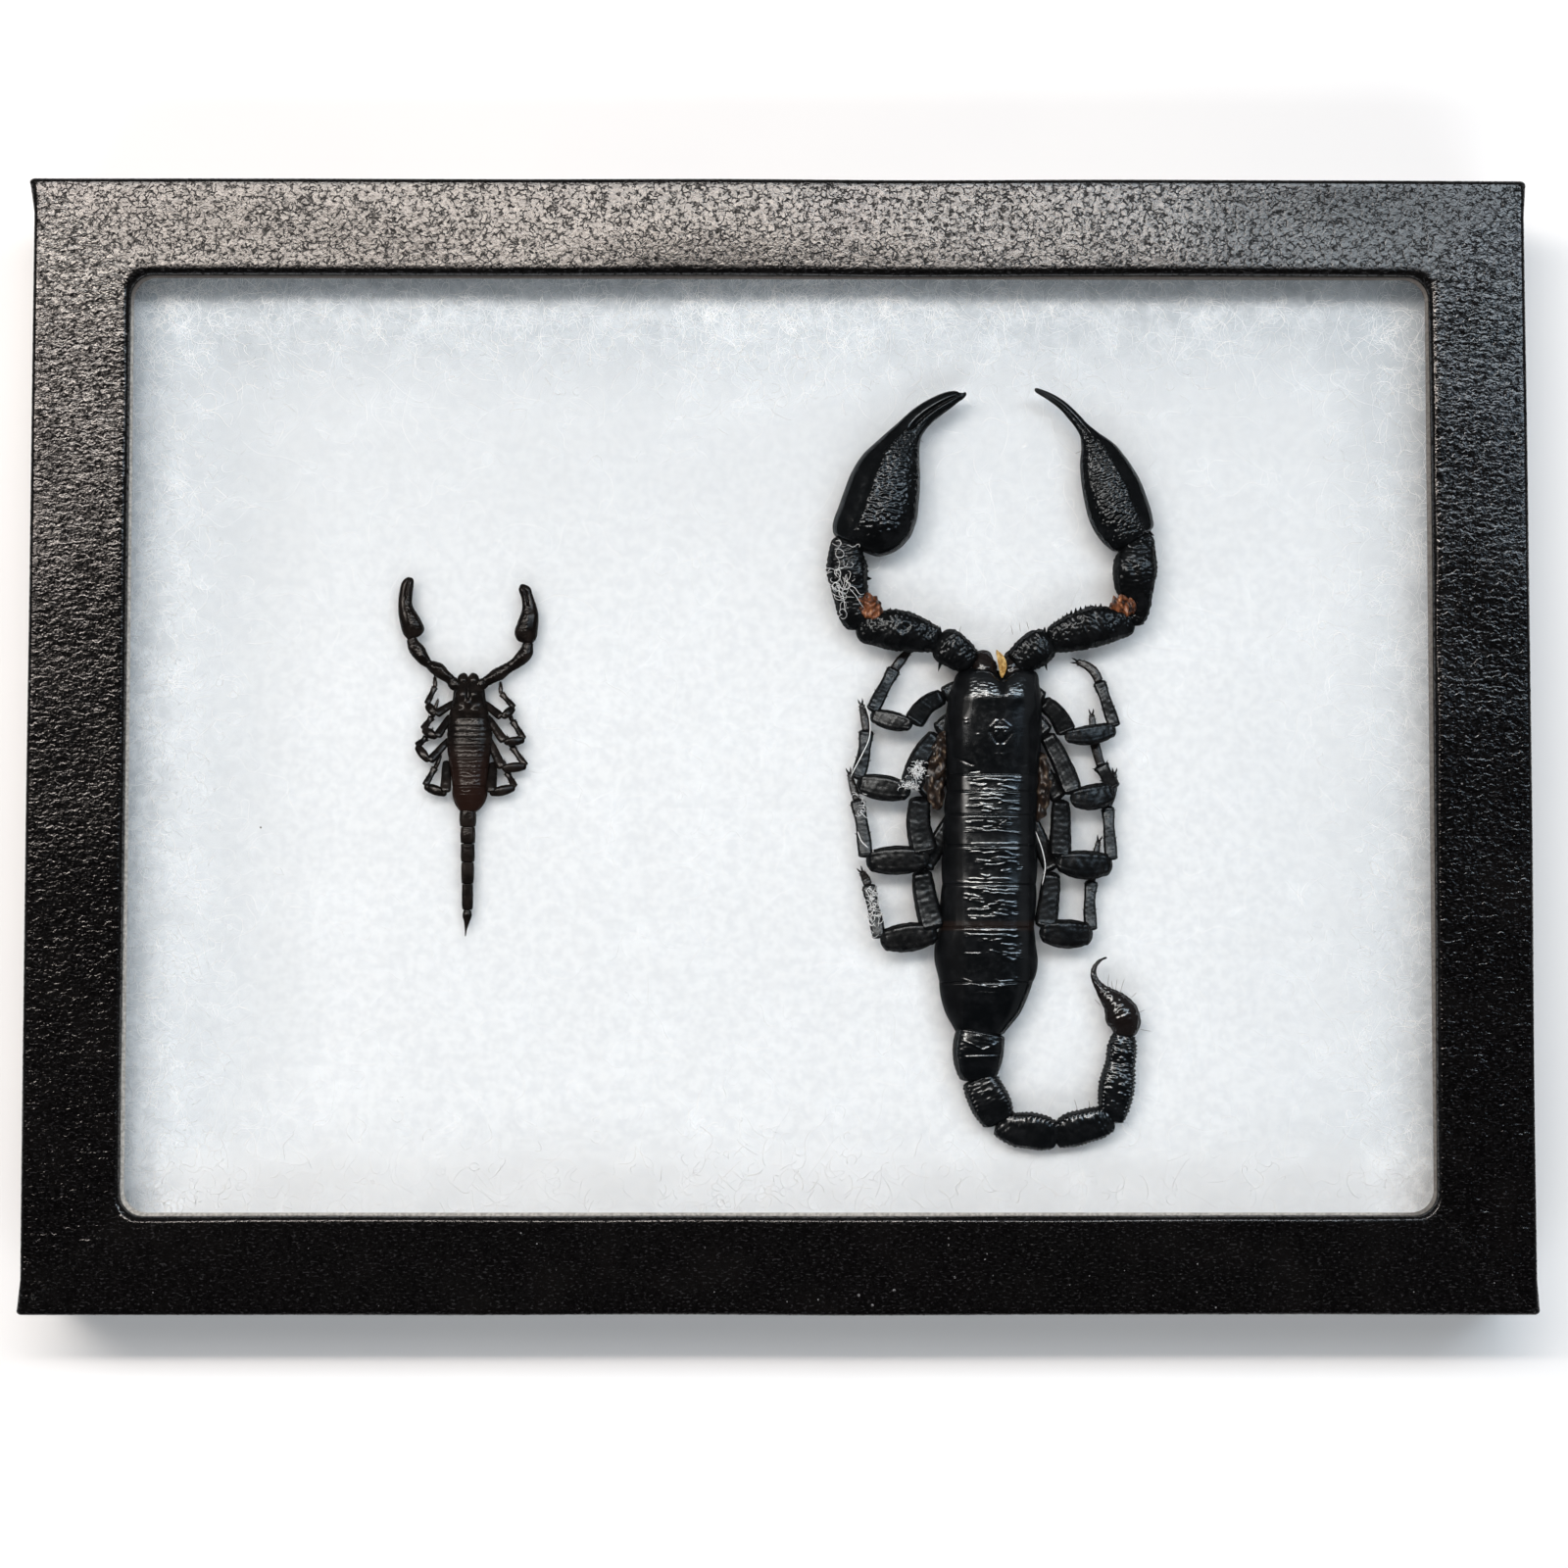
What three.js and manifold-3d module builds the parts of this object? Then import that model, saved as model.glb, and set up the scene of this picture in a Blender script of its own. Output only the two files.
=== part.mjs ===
// A display case for dry specimens: a black paper-covered board tray under a board lid with a glass window,
// filled with white batting that carries two dried scorpions, a large one and a small one.
// Millimetres, +Z up. The case lies on its back with the glass up. The origin is the middle of its underside,
// +X runs along the long side and +Y points the way both scorpions face.
import * as THREE from "three";
import { mergeVertices } from "three/addons/utils/BufferGeometryUtils.js";
import Module from "manifold-3d";

const wasm = await Module();
wasm.setup();

// Driving dimensions of the case
const caseWidth = 222;
const caseDepth = 168;
const caseHeight = 22;
const board = 1.8; // paper-covered board, everywhere in the case
const border = 14.4; // lid border from the outer edge to the window
const windowRadius = 3.4;
const boardCorner = 0.8; // upright outer corners of the tray and the lid
const foldCorner = 0.4; // upright inner corners
const lidRimHeight = 1; // the lid's lower rim stays this far above the surface the tray stands on
const slipFit = 0.4; // lid wall to tray wall
const fit = 0.3; // between any two pieces that touch
const glassThickness = 2;
const glassCorner = 1;
const battingTop = 10; // above the underside of the case
const battingEdgeRound = 3;
const battingCorner = 2;
const limbRoom = 0.4; // room between a body and the limbs that stop at it
const nestRoom = 1.1; // room between a body and the batting it lies in

// Heights that follow from the case
const lidUnderside = caseHeight - board;
const glassTop = lidUnderside - fit;
const glassUnderside = glassTop - glassThickness;
const trayTop = glassUnderside - fit;
const trayWidth = caseWidth - 2 * (board + slipFit);
const trayDepth = caseDepth - 2 * (board + slipFit);

// Looks of the pieces
const blackPaper = { color: 0x1b1a1b, roughness: 0.5, metalness: 0 };
const battingWhite = { color: 0xe9edf0, roughness: 1, metalness: 0 };
const blackCuticle = { color: 0x14161a, roughness: 0.3, metalness: 0 };
const brownCuticle = { color: 0x211a17, roughness: 0.4, metalness: 0 };
const clearGlass = { color: 0xffffff, roughness: 0.05, metalness: 0, transparent: true, opacity: 0.15 };

// Solids: closed meshes in and out of the boolean library

function solidOf(geometry) {
  const bare = geometry.clone();
  bare.deleteAttribute("normal");
  bare.deleteAttribute("uv");
  const merged = mergeVertices(bare, 1e-4);
  const vertProperties = new Float32Array(merged.attributes.position.array);
  const triVerts = new Uint32Array(merged.index.array);
  return new wasm.Manifold(new wasm.Mesh({ numProp: 3, vertProperties, triVerts }));
}

function geometryOf(solid) {
  const { vertProperties, triVerts } = solid.getMesh();
  const geometry = new THREE.BufferGeometry();
  geometry.setAttribute("position", new THREE.BufferAttribute(vertProperties, 3));
  geometry.setIndex(new THREE.BufferAttribute(triVerts, 1));
  geometry.computeVertexNormals();
  return geometry;
}

const joined = (solids) => solids.reduce((whole, next) => whole.add(next));

function piece(name, solid, look) {
  const mesh = new THREE.Mesh(geometryOf(solid), new THREE.MeshStandardMaterial(look));
  mesh.name = name;
  return mesh;
}

// The case: flat outlines pushed up into boards

function roundedOutline(width, depth, radius, Kind = THREE.Shape) {
  const outline = new Kind();
  const x = width / 2 - radius;
  const y = depth / 2 - radius;
  outline.absarc(x, y, radius, 0, Math.PI / 2);
  outline.absarc(-x, y, radius, Math.PI / 2, Math.PI);
  outline.absarc(-x, -y, radius, Math.PI, 1.5 * Math.PI);
  outline.absarc(x, -y, radius, 1.5 * Math.PI, 2 * Math.PI);
  return outline;
}

function slab(outline, bottom, height, hole) {
  if (hole) outline.holes.push(hole);
  const push = { depth: height, bevelEnabled: false, curveSegments: 2 };
  return solidOf(new THREE.ExtrudeGeometry(outline, push).translate(0, 0, bottom));
}

function wallRing(width, depth, bottom, top) {
  const inside = roundedOutline(width - 2 * board, depth - 2 * board, foldCorner, THREE.Path);
  return slab(roundedOutline(width, depth, boardCorner), bottom, top - bottom, inside);
}

function trayFloorAndWalls() {
  const floor = slab(roundedOutline(trayWidth, trayDepth, boardCorner), 0, board);
  return floor.add(wallRing(trayWidth, trayDepth, 0, trayTop));
}

function lidFrameAndWalls() {
  const sight = roundedOutline(caseWidth - 2 * border, caseDepth - 2 * border, windowRadius, THREE.Path);
  const face = slab(roundedOutline(caseWidth, caseDepth, boardCorner), lidUnderside, board, sight);
  return face.add(wallRing(caseWidth, caseDepth, lidRimHeight, caseHeight));
}

function glassSheet() {
  const clear = 2 * (board + slipFit);
  const sheet = roundedOutline(caseWidth - clear, caseDepth - clear, glassCorner);
  return slab(sheet, glassUnderside, glassThickness);
}

// The batting fills the tray and rolls down at its edges. Each body lies in a nest of its own.
function battingPad(nests) {
  const width = trayWidth - 2 * (board + fit) - 2 * battingEdgeRound;
  const depth = trayDepth - 2 * (board + fit) - 2 * battingEdgeRound;
  const bottom = board + fit;
  const geometry = new THREE.ExtrudeGeometry(roundedOutline(width, depth, battingCorner), {
    depth: battingTop - bottom - 2 * battingEdgeRound,
    bevelThickness: battingEdgeRound,
    bevelSize: battingEdgeRound,
    bevelSegments: 3,
    curveSegments: 1,
  });
  const pad = solidOf(geometry.translate(0, 0, bottom + battingEdgeRound));
  return nests.reduce((rest, nest) => rest.subtract(nest), pad);
}

// A loft: a tube whose rings are ellipses, each set by its centre, its half width across the path in plan
// (the vector to the path's left edge) and its half height.
function loft(stations, sides) {
  const tube = new THREE.CylinderGeometry(1, 1, 1, sides, stations.length - 1);
  const at = tube.attributes.position;
  const point = new THREE.Vector3();
  for (let i = 0; i < at.count; i++) {
    const { centre, across, rise } = stations[Math.round((0.5 - at.getY(i)) * (stations.length - 1))];
    point.copy(centre).addScaledVector(across, at.getX(i));
    point.z += rise * at.getZ(i);
    at.setXYZ(i, point.x, point.y, point.z);
  }
  return solidOf(tube);
}

// Stations along a centre line. Each row is x, y, z, half width, half height.
function alongLine(rows, grow = 0) {
  return rows.map(([x, y, z, halfWidth, halfHeight], i) => {
    const [ax, ay] = rows[Math.max(i - 1, 0)];
    const [bx, by] = rows[Math.min(i + 1, rows.length - 1)];
    const left = new THREE.Vector3(ay - by, bx - ax, 0).normalize();
    return {
      centre: new THREE.Vector3(x, y, z),
      across: left.multiplyScalar(halfWidth + grow),
      rise: halfHeight + grow,
    };
  });
}

// Stations between two edges in plan. Each row is the left edge's x, y and the right edge's x, y.
function betweenEdges(rows, height, flatness) {
  return rows.map(([leftX, leftY, rightX, rightY]) => {
    const across = new THREE.Vector3(leftX - rightX, leftY - rightY, 0).multiplyScalar(0.5);
    return {
      centre: new THREE.Vector3((leftX + rightX) / 2, (leftY + rightY) / 2, height),
      across,
      rise: across.length() * flatness,
    };
  });
}

// One joint of a leg: a spindle from one knuckle to the next, run a little past both so that joints fuse
const knuckleGirth = 0.6; // share of the joint's girth
const knuckleOverrun = 0.4; // share of the joint's half width
function limbJoint(from, to, halfWidth, { legFlatness, legSwell, sides }) {
  const start = new THREE.Vector3(...from);
  const end = new THREE.Vector3(...to);
  const over = (knuckleOverrun * halfWidth) / start.distanceTo(end);
  const spindle = [[-over, knuckleGirth], ...legSwell, [1 + over, knuckleGirth]];
  const rows = spindle.map(([share, swell]) => {
    const { x, y, z } = start.clone().lerp(end, share);
    return [x, y, z, swell * halfWidth, swell * halfWidth * legFlatness];
  });
  return loft(alongLine(rows), sides.leg);
}

// The large scorpion in its own frame: +Y ahead, x and y from the middle of its back, z from the batting
const largeScorpion = {
  name: "large",
  place: [32.6, 0, battingTop],
  look: blackCuticle,
  sides: { body: 14, jaw: 6, arm: 8, tail: 7, leg: 6, nest: 8 },
  lean: 0.042, // sideways drift of the back for each millimetre towards the tail
  back: { height: 3.2, lip: 0.3 },
  // Carapace: y, half width, half height
  carapace: [
    [11.9, 4.4, 2.1],
    [11.0, 5.4, 2.8],
    [7.5, 6.4, 3.3],
    [2.5, 7.0, 3.6],
    [-4.4, 7.1, 3.4],
  ],
  // Back plates: y of the rear lip, half width and half height there
  plates: [
    [-7.0, 7.1, 3.4],
    [-10.3, 7.2, 3.5],
    [-14.8, 7.2, 3.6],
    [-20.5, 7.3, 3.6],
    [-27.2, 7.5, 3.6],
    [-35.0, 7.3, 3.4],
  ],
  // Last plate, which narrows to the tail: y, half width, half height
  rump: [
    [-37.2, 6.75, 3.2],
    [-39.6, 5.8, 3.0],
    [-41.8, 4.5, 2.7],
    [-43.1, 3.6, 2.4],
  ],
  jaws: [
    [-1.6, 11.6, 3.6, 1.7, 1.5],
    [1.9, 11.6, 3.6, 1.7, 1.5],
  ],
  jawLength: 2.6,
  eyes: { y: 2.3, halfWidth: 1.5, halfLength: 2, rise: 0.5 },
  clawHeight: 4,
  clawFlatness: 0.56,
  left: {
    // Pincer hand and finger: left edge x, y and right edge x, y, from the wrist to the tip
    claw: [
      [-24.0, 31.0, -19.6, 29.2],
      [-24.6, 32.0, -17.3, 28.5],
      [-24.7, 33.0, -15.0, 29.4],
      [-24.5, 34.0, -13.3, 31.0],
      [-23.9, 35.6, -12.2, 33.4],
      [-23.0, 38.2, -11.7, 36.5],
      [-21.9, 41.0, -11.5, 40.0],
      [-20.3, 43.6, -11.6, 43.2],
      [-17.6, 46.2, -11.5, 45.6],
      [-15.0, 48.5, -11.0, 47.0],
      [-12.4, 50.8, -9.7, 48.6],
      [-9.8, 52.4, -8.0, 50.0],
      [-7.6, 53.3, -6.4, 51.2],
      [-5.3, 53.3, -4.9, 52.4],
    ],
    // Arm joints: x, y, half width
    patella: [
      [-22.7, 31.6, 1.6],
      [-22.6, 29.0, 2.4],
      [-22.3, 26.5, 3.0],
      [-22.0, 24.0, 2.7],
      [-21.6, 21.8, 2.3],
      [-21.1, 19.3, 1.9],
      [-20.6, 17.6, 1.1],
    ],
    elbow: [-19.2, 20.0, 1.7],
    femur: [
      [-20.8, 17.2, 1.0],
      [-18.1, 17.3, 2.3],
      [-15.4, 17.3, 2.9],
      [-12.6, 16.8, 2.7],
      [-10.1, 16.2, 2.1],
      [-8.3, 15.7, 1.5],
    ],
    trochanter: [
      [-9.1, 16.0, 1.5],
      [-7.4, 14.9, 2.4],
      [-5.8, 13.8, 2.3],
      [-3.6, 12.0, 1.6],
    ],
    // Legs, front to back: root, hip, two knees, ankle and tip in plan, then the half widths of the joints
    legs: [
      {
        at: [[-5.0, 9.0], [-8.2, 7.6], [-12.9, 2.9], [-18.9, 4.9], [-15.4, 11.7], [-12.8, 14.8]],
        half: [1.2, 1.4, 1.3, 0.95, 0.65],
      },
      {
        at: [[-5.5, 4.6], [-9.2, 1.8], [-13.2, -6.6], [-21.0, -5.6], [-19.5, 2.6], [-20.2, 6.2]],
        half: [1.4, 1.5, 1.65, 1.0, 0.6],
      },
      {
        at: [[-5.8, -1.5], [-11.4, -7.6], [-10.9, -16.8], [-19.7, -17.4], [-20.9, -7.8], [-21.9, -4.0]],
        half: [1.4, 1.65, 1.9, 1.0, 0.55],
      },
      {
        at: [[-6.0, -10.0], [-11.2, -18.6], [-9.7, -28.0], [-17.7, -29.2], [-19.3, -21.0], [-20.2, -18.8]],
        half: [1.3, 1.6, 1.9, 0.95, 0.6],
      },
    ],
  },
  right: {
    claw: [
      [18.9, 29.3, 23.0, 32.0],
      [17.7, 29.3, 23.6, 33.0],
      [16.4, 30.2, 23.5, 34.2],
      [15.0, 31.9, 23.2, 35.6],
      [14.0, 33.8, 22.6, 37.4],
      [13.3, 36.5, 21.8, 39.6],
      [12.8, 39.5, 20.6, 41.8],
      [12.6, 42.5, 19.2, 43.8],
      [12.8, 45.2, 17.4, 45.8],
      [12.6, 46.7, 15.4, 47.2],
      [12.0, 47.8, 13.9, 48.4],
      [11.0, 49.1, 12.4, 50.0],
      [9.6, 50.7, 10.6, 51.7],
      [7.8, 52.1, 8.6, 53.0],
      [5.4, 53.3, 5.7, 53.9],
    ],
    patella: [
      [22.0, 32.2, 1.5],
      [21.4, 29.5, 2.5],
      [20.9, 27.0, 3.2],
      [20.7, 25.0, 3.1],
      [20.9, 22.8, 2.5],
      [21.4, 20.5, 1.4],
      [20.6, 18.2, 0.9],
    ],
    elbow: [18.9, 20.8, 1.9],
    femur: [
      [20.6, 18.0, 1.0],
      [17.7, 18.1, 2.3],
      [15.0, 17.9, 2.9],
      [12.4, 17.2, 2.8],
      [10.0, 16.4, 2.4],
      [7.6, 15.5, 1.6],
    ],
    trochanter: [
      [8.3, 16.0, 1.6],
      [6.2, 14.7, 2.5],
      [4.6, 13.6, 2.3],
      [2.6, 12.0, 1.6],
    ],
    legs: [
      {
        at: [[4.6, 8.6], [7.0, 6.6], [10.3, 1.4], [17.8, 2.4], [15.5, 9.8], [12.3, 12.8]],
        half: [1.2, 1.35, 1.35, 0.9, 0.65],
      },
      {
        at: [[5.0, 4.4], [7.6, 1.6], [11.2, -7.6], [17.6, -6.6], [15.6, -2.9], [14.5, 4.9]],
        half: [1.4, 1.4, 1.65, 1.05, 0.65],
      },
      {
        at: [[5.2, -1.5], [9.7, -8.0], [9.2, -17.2], [17.1, -17.6], [16.8, -9.0], [17.9, -4.0]],
        half: [1.3, 1.45, 1.9, 0.9, 0.55],
      },
      {
        at: [[4.6, -10.0], [8.4, -19.0], [6.8, -27.8], [14.1, -28.1], [14.2, -20.3], [15.5, -14.2]],
        half: [1.2, 1.5, 1.9, 0.9, 0.55],
      },
    ],
  },
  armHeight: 3.8,
  armFlatness: 0.72,
  elbowFlatness: 0.6,
  legHeights: [1.6, 1.7, 4.6, 3.3, 1.5, 0.9],
  legFlatness: 0.6,
  legSwell: [[0.18, 0.92], [0.6, 1]], // share of a joint's length, share of its half width
  // Tail joints, body to sting: x, y, half width at each station
  tail: [
    [[-2.4, -42.2, 2.6], [-2.9, -44.6, 3.8], [-3.0, -46.5, 3.75], [-3.0, -48.3, 3.3], [-2.7, -50.4, 2.3]],
    [[-3.0, -49.6, 2.0], [-1.9, -52.0, 2.9], [-0.9, -54.0, 2.9], [0.4, -56.6, 2.1]],
    [[-0.2, -56.4, 1.7], [2.6, -57.4, 2.4], [4.9, -57.6, 2.6], [7.2, -58.1, 2.4], [9.2, -58.7, 1.5]],
    [[8.2, -58.8, 1.5], [10.7, -57.6, 2.4], [13.0, -56.9, 2.4], [15.4, -56.3, 2.2], [17.4, -55.8, 1.4]],
    [
      [17.0, -56.6, 1.4], [17.4, -53.5, 2.3], [17.8, -50.5, 2.5], [18.3, -47.5, 2.0], [18.6, -45.0, 2.0],
      [18.9, -43.0, 1.4],
    ],
    [
      [18.9, -43.8, 1.2], [19.0, -41.8, 2.35], [18.4, -40.0, 2.5], [17.5, -38.6, 1.9], [16.3, -37.4, 1.25],
      [15.1, -36.0, 0.65], [14.4, -34.5, 0.4], [14.55, -33.2, 0.3], [15.3, -32.3, 0.2], [16.4, -31.8, 0.08],
    ],
  ],
  tailHeight: 3.2,
  tailFlatness: 0.8,
};

// The small scorpion, in a frame of the same kind
const smallScorpion = {
  name: "small",
  place: [-47, 0, battingTop],
  look: brownCuticle,
  sides: { body: 8, jaw: 5, arm: 5, tail: 5, leg: 4, nest: 8 },
  lean: 0,
  back: { height: 1.5, lip: 0.15 },
  carapace: [
    [9.6, 1.5, 1.0],
    [8.6, 2.2, 1.3],
    [6.0, 2.6, 1.5],
    [4.2, 2.9, 1.5],
  ],
  plates: [
    [3.3, 3.1, 1.6],
    [2.3, 3.2, 1.6],
    [1.0, 3.3, 1.7],
    [-0.9, 3.3, 1.7],
    [-3.2, 2.85, 1.7],
    [-6.4, 2.5, 1.6],
  ],
  rump: [
    [-7.8, 2.45, 1.5],
    [-9.1, 2.0, 1.3],
    [-10.0, 1.2, 1.0],
  ],
  jaws: [
    [-0.6, 9.6, 1.6, 0.85, 0.7],
    [0.6, 9.6, 1.6, 0.85, 0.7],
  ],
  jawLength: 1.4,
  eyes: { y: 6.2, halfWidth: 0.6, halfLength: 0.6, rise: 0.25 },
  clawHeight: 1.8,
  clawFlatness: 0.62,
  left: {
    claw: [
      [-9.3, 15.9, -8.2, 16.2],
      [-9.8, 16.8, -7.3, 16.7],
      [-10.2, 18.2, -6.7, 17.4],
      [-10.5, 19.8, -7.2, 19.1],
      [-10.4, 21.6, -8.1, 21.0],
      [-10.2, 23.2, -8.4, 22.8],
      [-9.7, 24.6, -8.3, 24.3],
      [-8.9, 25.4, -8.3, 25.2],
    ],
    patella: [
      [-8.7, 16.4, 0.6],
      [-7.8, 14.6, 0.95],
      [-7.0, 13.4, 0.9],
      [-5.6, 12.0, 0.6],
    ],
    elbow: [-5.8, 12.3, 0.6],
    femur: [
      [-6.2, 12.4, 0.6],
      [-4.6, 11.5, 0.95],
      [-3.6, 10.7, 0.85],
      [-2.4, 9.7, 0.6],
    ],
    trochanter: [
      [-2.8, 10.0, 0.6],
      [-1.9, 9.2, 0.9],
      [-1.0, 8.6, 0.6],
    ],
    legs: [
      {
        at: [[-2.0, 6.6], [-4.8, 4.6], [-6.2, 6.3], [-5.0, 9.0], [-5.0, 10.4]],
        half: [0.55, 0.62, 0.4, 0.28],
      },
      {
        at: [[-2.6, 4.6], [-4.6, 1.2], [-6.8, 2.5], [-5.4, 4.4], [-4.6, 7.0]],
        half: [0.55, 0.62, 0.45, 0.28],
      },
      {
        at: [[-2.8, 1.0], [-5.7, -2.5], [-7.7, 0.0], [-6.2, 1.3], [-5.4, 2.6]],
        half: [0.55, 0.62, 0.45, 0.28],
      },
      {
        at: [[-3.3, -2.2], [-3.2, -7.2], [-6.4, -6.1], [-4.9, -3.2], [-4.1, -1.4]],
        half: [0.65, 0.64, 0.45, 0.28],
      },
    ],
  },
  right: {
    claw: [
      [8.6, 15.5, 9.7, 15.3],
      [7.5, 15.9, 10.3, 16.2],
      [7.0, 16.9, 10.5, 17.6],
      [7.4, 18.5, 10.6, 19.4],
      [8.1, 20.6, 10.3, 21.0],
      [8.0, 22.3, 9.7, 22.8],
      [7.6, 23.6, 8.9, 24.0],
      [7.6, 24.2, 8.2, 24.4],
    ],
    patella: [
      [9.2, 15.8, 0.6],
      [8.7, 14.0, 0.95],
      [7.8, 12.9, 0.9],
      [6.1, 11.6, 0.65],
    ],
    elbow: [6.4, 11.8, 0.6],
    femur: [
      [6.7, 11.9, 0.65],
      [4.8, 10.9, 0.9],
      [3.6, 10.2, 0.8],
      [2.4, 9.5, 0.6],
    ],
    trochanter: [
      [2.8, 9.7, 0.6],
      [1.9, 9.1, 0.85],
      [1.0, 8.6, 0.6],
    ],
    legs: [
      { at: [[2.2, 6.6], [5.2, 4.2], [7.0, 5.8], [4.9, 8.0], [4.8, 9.6]], half: [0.55, 0.6, 0.4, 0.28] },
      { at: [[2.8, 4.5], [5.6, 0.5], [8.5, 0.9], [6.6, 3.9], [6.0, 5.2]], half: [0.55, 0.62, 0.45, 0.28] },
      { at: [[3.0, 1.2], [5.3, -3.5], [8.8, -3.1], [6.5, 0.0], [5.8, 1.5]], half: [0.6, 0.64, 0.45, 0.28] },
      {
        at: [[3.7, -2.4], [3.6, -7.2], [7.2, -6.3], [5.8, -3.9], [5.4, -2.2]],
        half: [0.65, 0.64, 0.45, 0.28],
      },
    ],
  },
  armHeight: 1.8,
  armFlatness: 0.75,
  elbowFlatness: 0.75,
  legHeights: [1.0, 2.3, 1.6, 0.8, 0.6],
  legFlatness: 0.7,
  legSwell: [[0.45, 1]],
  tail: [
    [[0.05, -9.6, 0.8], [0.1, -10.6, 1.2], [0.1, -11.6, 1.15], [0.1, -12.4, 0.8]],
    [[0.1, -11.9, 0.8], [0.1, -12.8, 1.05], [0.1, -14.2, 1.0], [0.1, -15.1, 0.75]],
    [[0.1, -14.7, 0.75], [0.1, -15.6, 1.0], [0.1, -17.0, 0.95], [0.1, -17.9, 0.7]],
    [[0.1, -17.5, 0.7], [0.1, -18.4, 0.95], [0.1, -20.0, 0.9], [0.1, -20.8, 0.7]],
    [[0.1, -20.4, 0.7], [0.1, -21.4, 0.8], [0.1, -23.8, 0.78], [0.1, -24.9, 0.5]],
    [[0.1, -24.5, 0.4], [0.05, -25.6, 0.65], [0.0, -26.6, 0.42], [-0.1, -27.4, 0.2], [-0.2, -28.7, 0.08]],
  ],
  tailHeight: 1.4,
  tailFlatness: 0.9,
};

// A jaw's swell along it, both ways from the carapace's front edge: share of its length, share of its girth
const jawSwell = [
  [-1, 1],
  [0.5, 1],
  [0.85, 0.8],
  [1, 0.45],
];

// The eye mound's swell, front to back
const eyeSwell = [
  [1, 0.45],
  [0, 1],
  [-1, 0.45],
];

// Where the middle of the back lies, across, at a place along it
const spine = (spec, y) => 0.1 + spec.lean * (y - spec.carapace[0][0]);

// Carapace and back plates as one loft. Each plate starts a lip lower than the plate ahead of it ends.
function backRows(spec) {
  const { height, lip } = spec.back;
  const row = (y, halfWidth, halfHeight) => [spine(spec, y), y, height, halfWidth, halfHeight];
  const rows = spec.carapace.map(([y, halfWidth, halfHeight]) => row(y, halfWidth, halfHeight));
  let [, aheadWidth, aheadHeight] = spec.carapace.at(-1);
  let ahead = spec.carapace.at(-1)[0];
  for (const [y, halfWidth, halfHeight] of spec.plates) {
    rows.push(row(ahead - lip, aheadWidth - lip, aheadHeight - lip));
    rows.push(row(y, halfWidth, halfHeight));
    [ahead, aheadWidth, aheadHeight] = [y, halfWidth, halfHeight];
  }
  rows.push(row(ahead - lip, aheadWidth - lip, aheadHeight - lip));
  return rows.concat(spec.rump.map(([y, halfWidth, halfHeight]) => row(y, halfWidth, halfHeight)));
}

// Back and jaws, grown on all sides by a margin
function trunk(spec, grow = 0) {
  const back = loft(alongLine(backRows(spec), grow), spec.sides.body);
  const jaws = spec.jaws.map(([x, y, z, halfWidth, halfHeight]) => {
    const rows = jawSwell.map(([share, swell]) => {
      return [x, y + share * spec.jawLength, z, swell * halfWidth, swell * halfHeight];
    });
    return loft(alongLine(rows, grow), spec.sides.jaw);
  });
  return joined([back, ...jaws]);
}

function bodySolid(spec) {
  const { y, halfWidth, halfLength, rise } = spec.eyes;
  const crown = spec.back.height + spec.carapace.at(-2)[2];
  const rows = eyeSwell.map(([share, swell]) => {
    return [spine(spec, y), y + share * halfLength, crown - rise, swell * halfWidth, 2 * swell * rise];
  });
  return trunk(spec).add(loft(alongLine(rows), spec.sides.jaw));
}

function pincerSolid(spec, side) {
  const { claw, patella, elbow, femur, trochanter } = spec[side];
  const hand = loft(betweenEdges(claw, spec.clawHeight, spec.clawFlatness), spec.sides.arm);
  const arm = [patella, femur, trochanter].map((joint) => {
    const rows = joint.map(([x, y, half]) => [x, y, spec.armHeight, half, half * spec.armFlatness]);
    return loft(alongLine(rows), spec.sides.arm);
  });
  const [x, y, half] = elbow;
  const membrane = new THREE.SphereGeometry(half, spec.sides.arm, 5).scale(1, 1, spec.elbowFlatness);
  return joined([hand, ...arm, solidOf(membrane.translate(x, y, spec.armHeight))]);
}

function legSolid(spec, { at, half }) {
  const knuckles = at.map(([x, y], i) => [x, y, spec.legHeights[i]]);
  return joined(half.map((width, i) => limbJoint(knuckles[i], knuckles[i + 1], width, spec)));
}

function tailSolid(spec) {
  const joints = spec.tail.map((joint) => {
    const rows = joint.map(([x, y, half]) => [x, y, spec.tailHeight, half, half * spec.tailFlatness]);
    return loft(alongLine(rows), spec.sides.tail);
  });
  return joined(joints);
}

// The hollow that a body presses into the batting, coarser than the body
function nest(spec) {
  const rows = backRows(spec);
  const coarse = rows.filter((row, i) => i % 3 === 0 || i === rows.length - 1);
  return loft(alongLine(coarse, nestRoom), spec.sides.nest).translate(spec.place);
}

function scorpion(spec) {
  const group = new THREE.Group();
  group.position.set(...spec.place);
  const room = trunk(spec, limbRoom);
  const add = (name, solid) => group.add(piece(`${spec.name}_${name}`, solid, spec.look));
  add("body", bodySolid(spec));
  add("tail", tailSolid(spec).subtract(room));
  for (const side of ["left", "right"]) {
    add(`pincer_${side}`, pincerSolid(spec, side).subtract(room));
    spec[side].legs.forEach((leg, i) => add(`leg_${side}_${i + 1}`, legSolid(spec, leg).subtract(room)));
  }
  return group;
}

const specimens = [largeScorpion, smallScorpion];

const framedScorpions = new THREE.Group();
framedScorpions.add(
  piece("case_tray", trayFloorAndWalls(), blackPaper),
  piece("case_lid", lidFrameAndWalls(), blackPaper),
  piece("glass_pane", glassSheet(), clearGlass),
  piece("batting", battingPad(specimens.map(nest)), battingWhite),
  ...specimens.map(scorpion),
);

export default framedScorpions;
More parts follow.
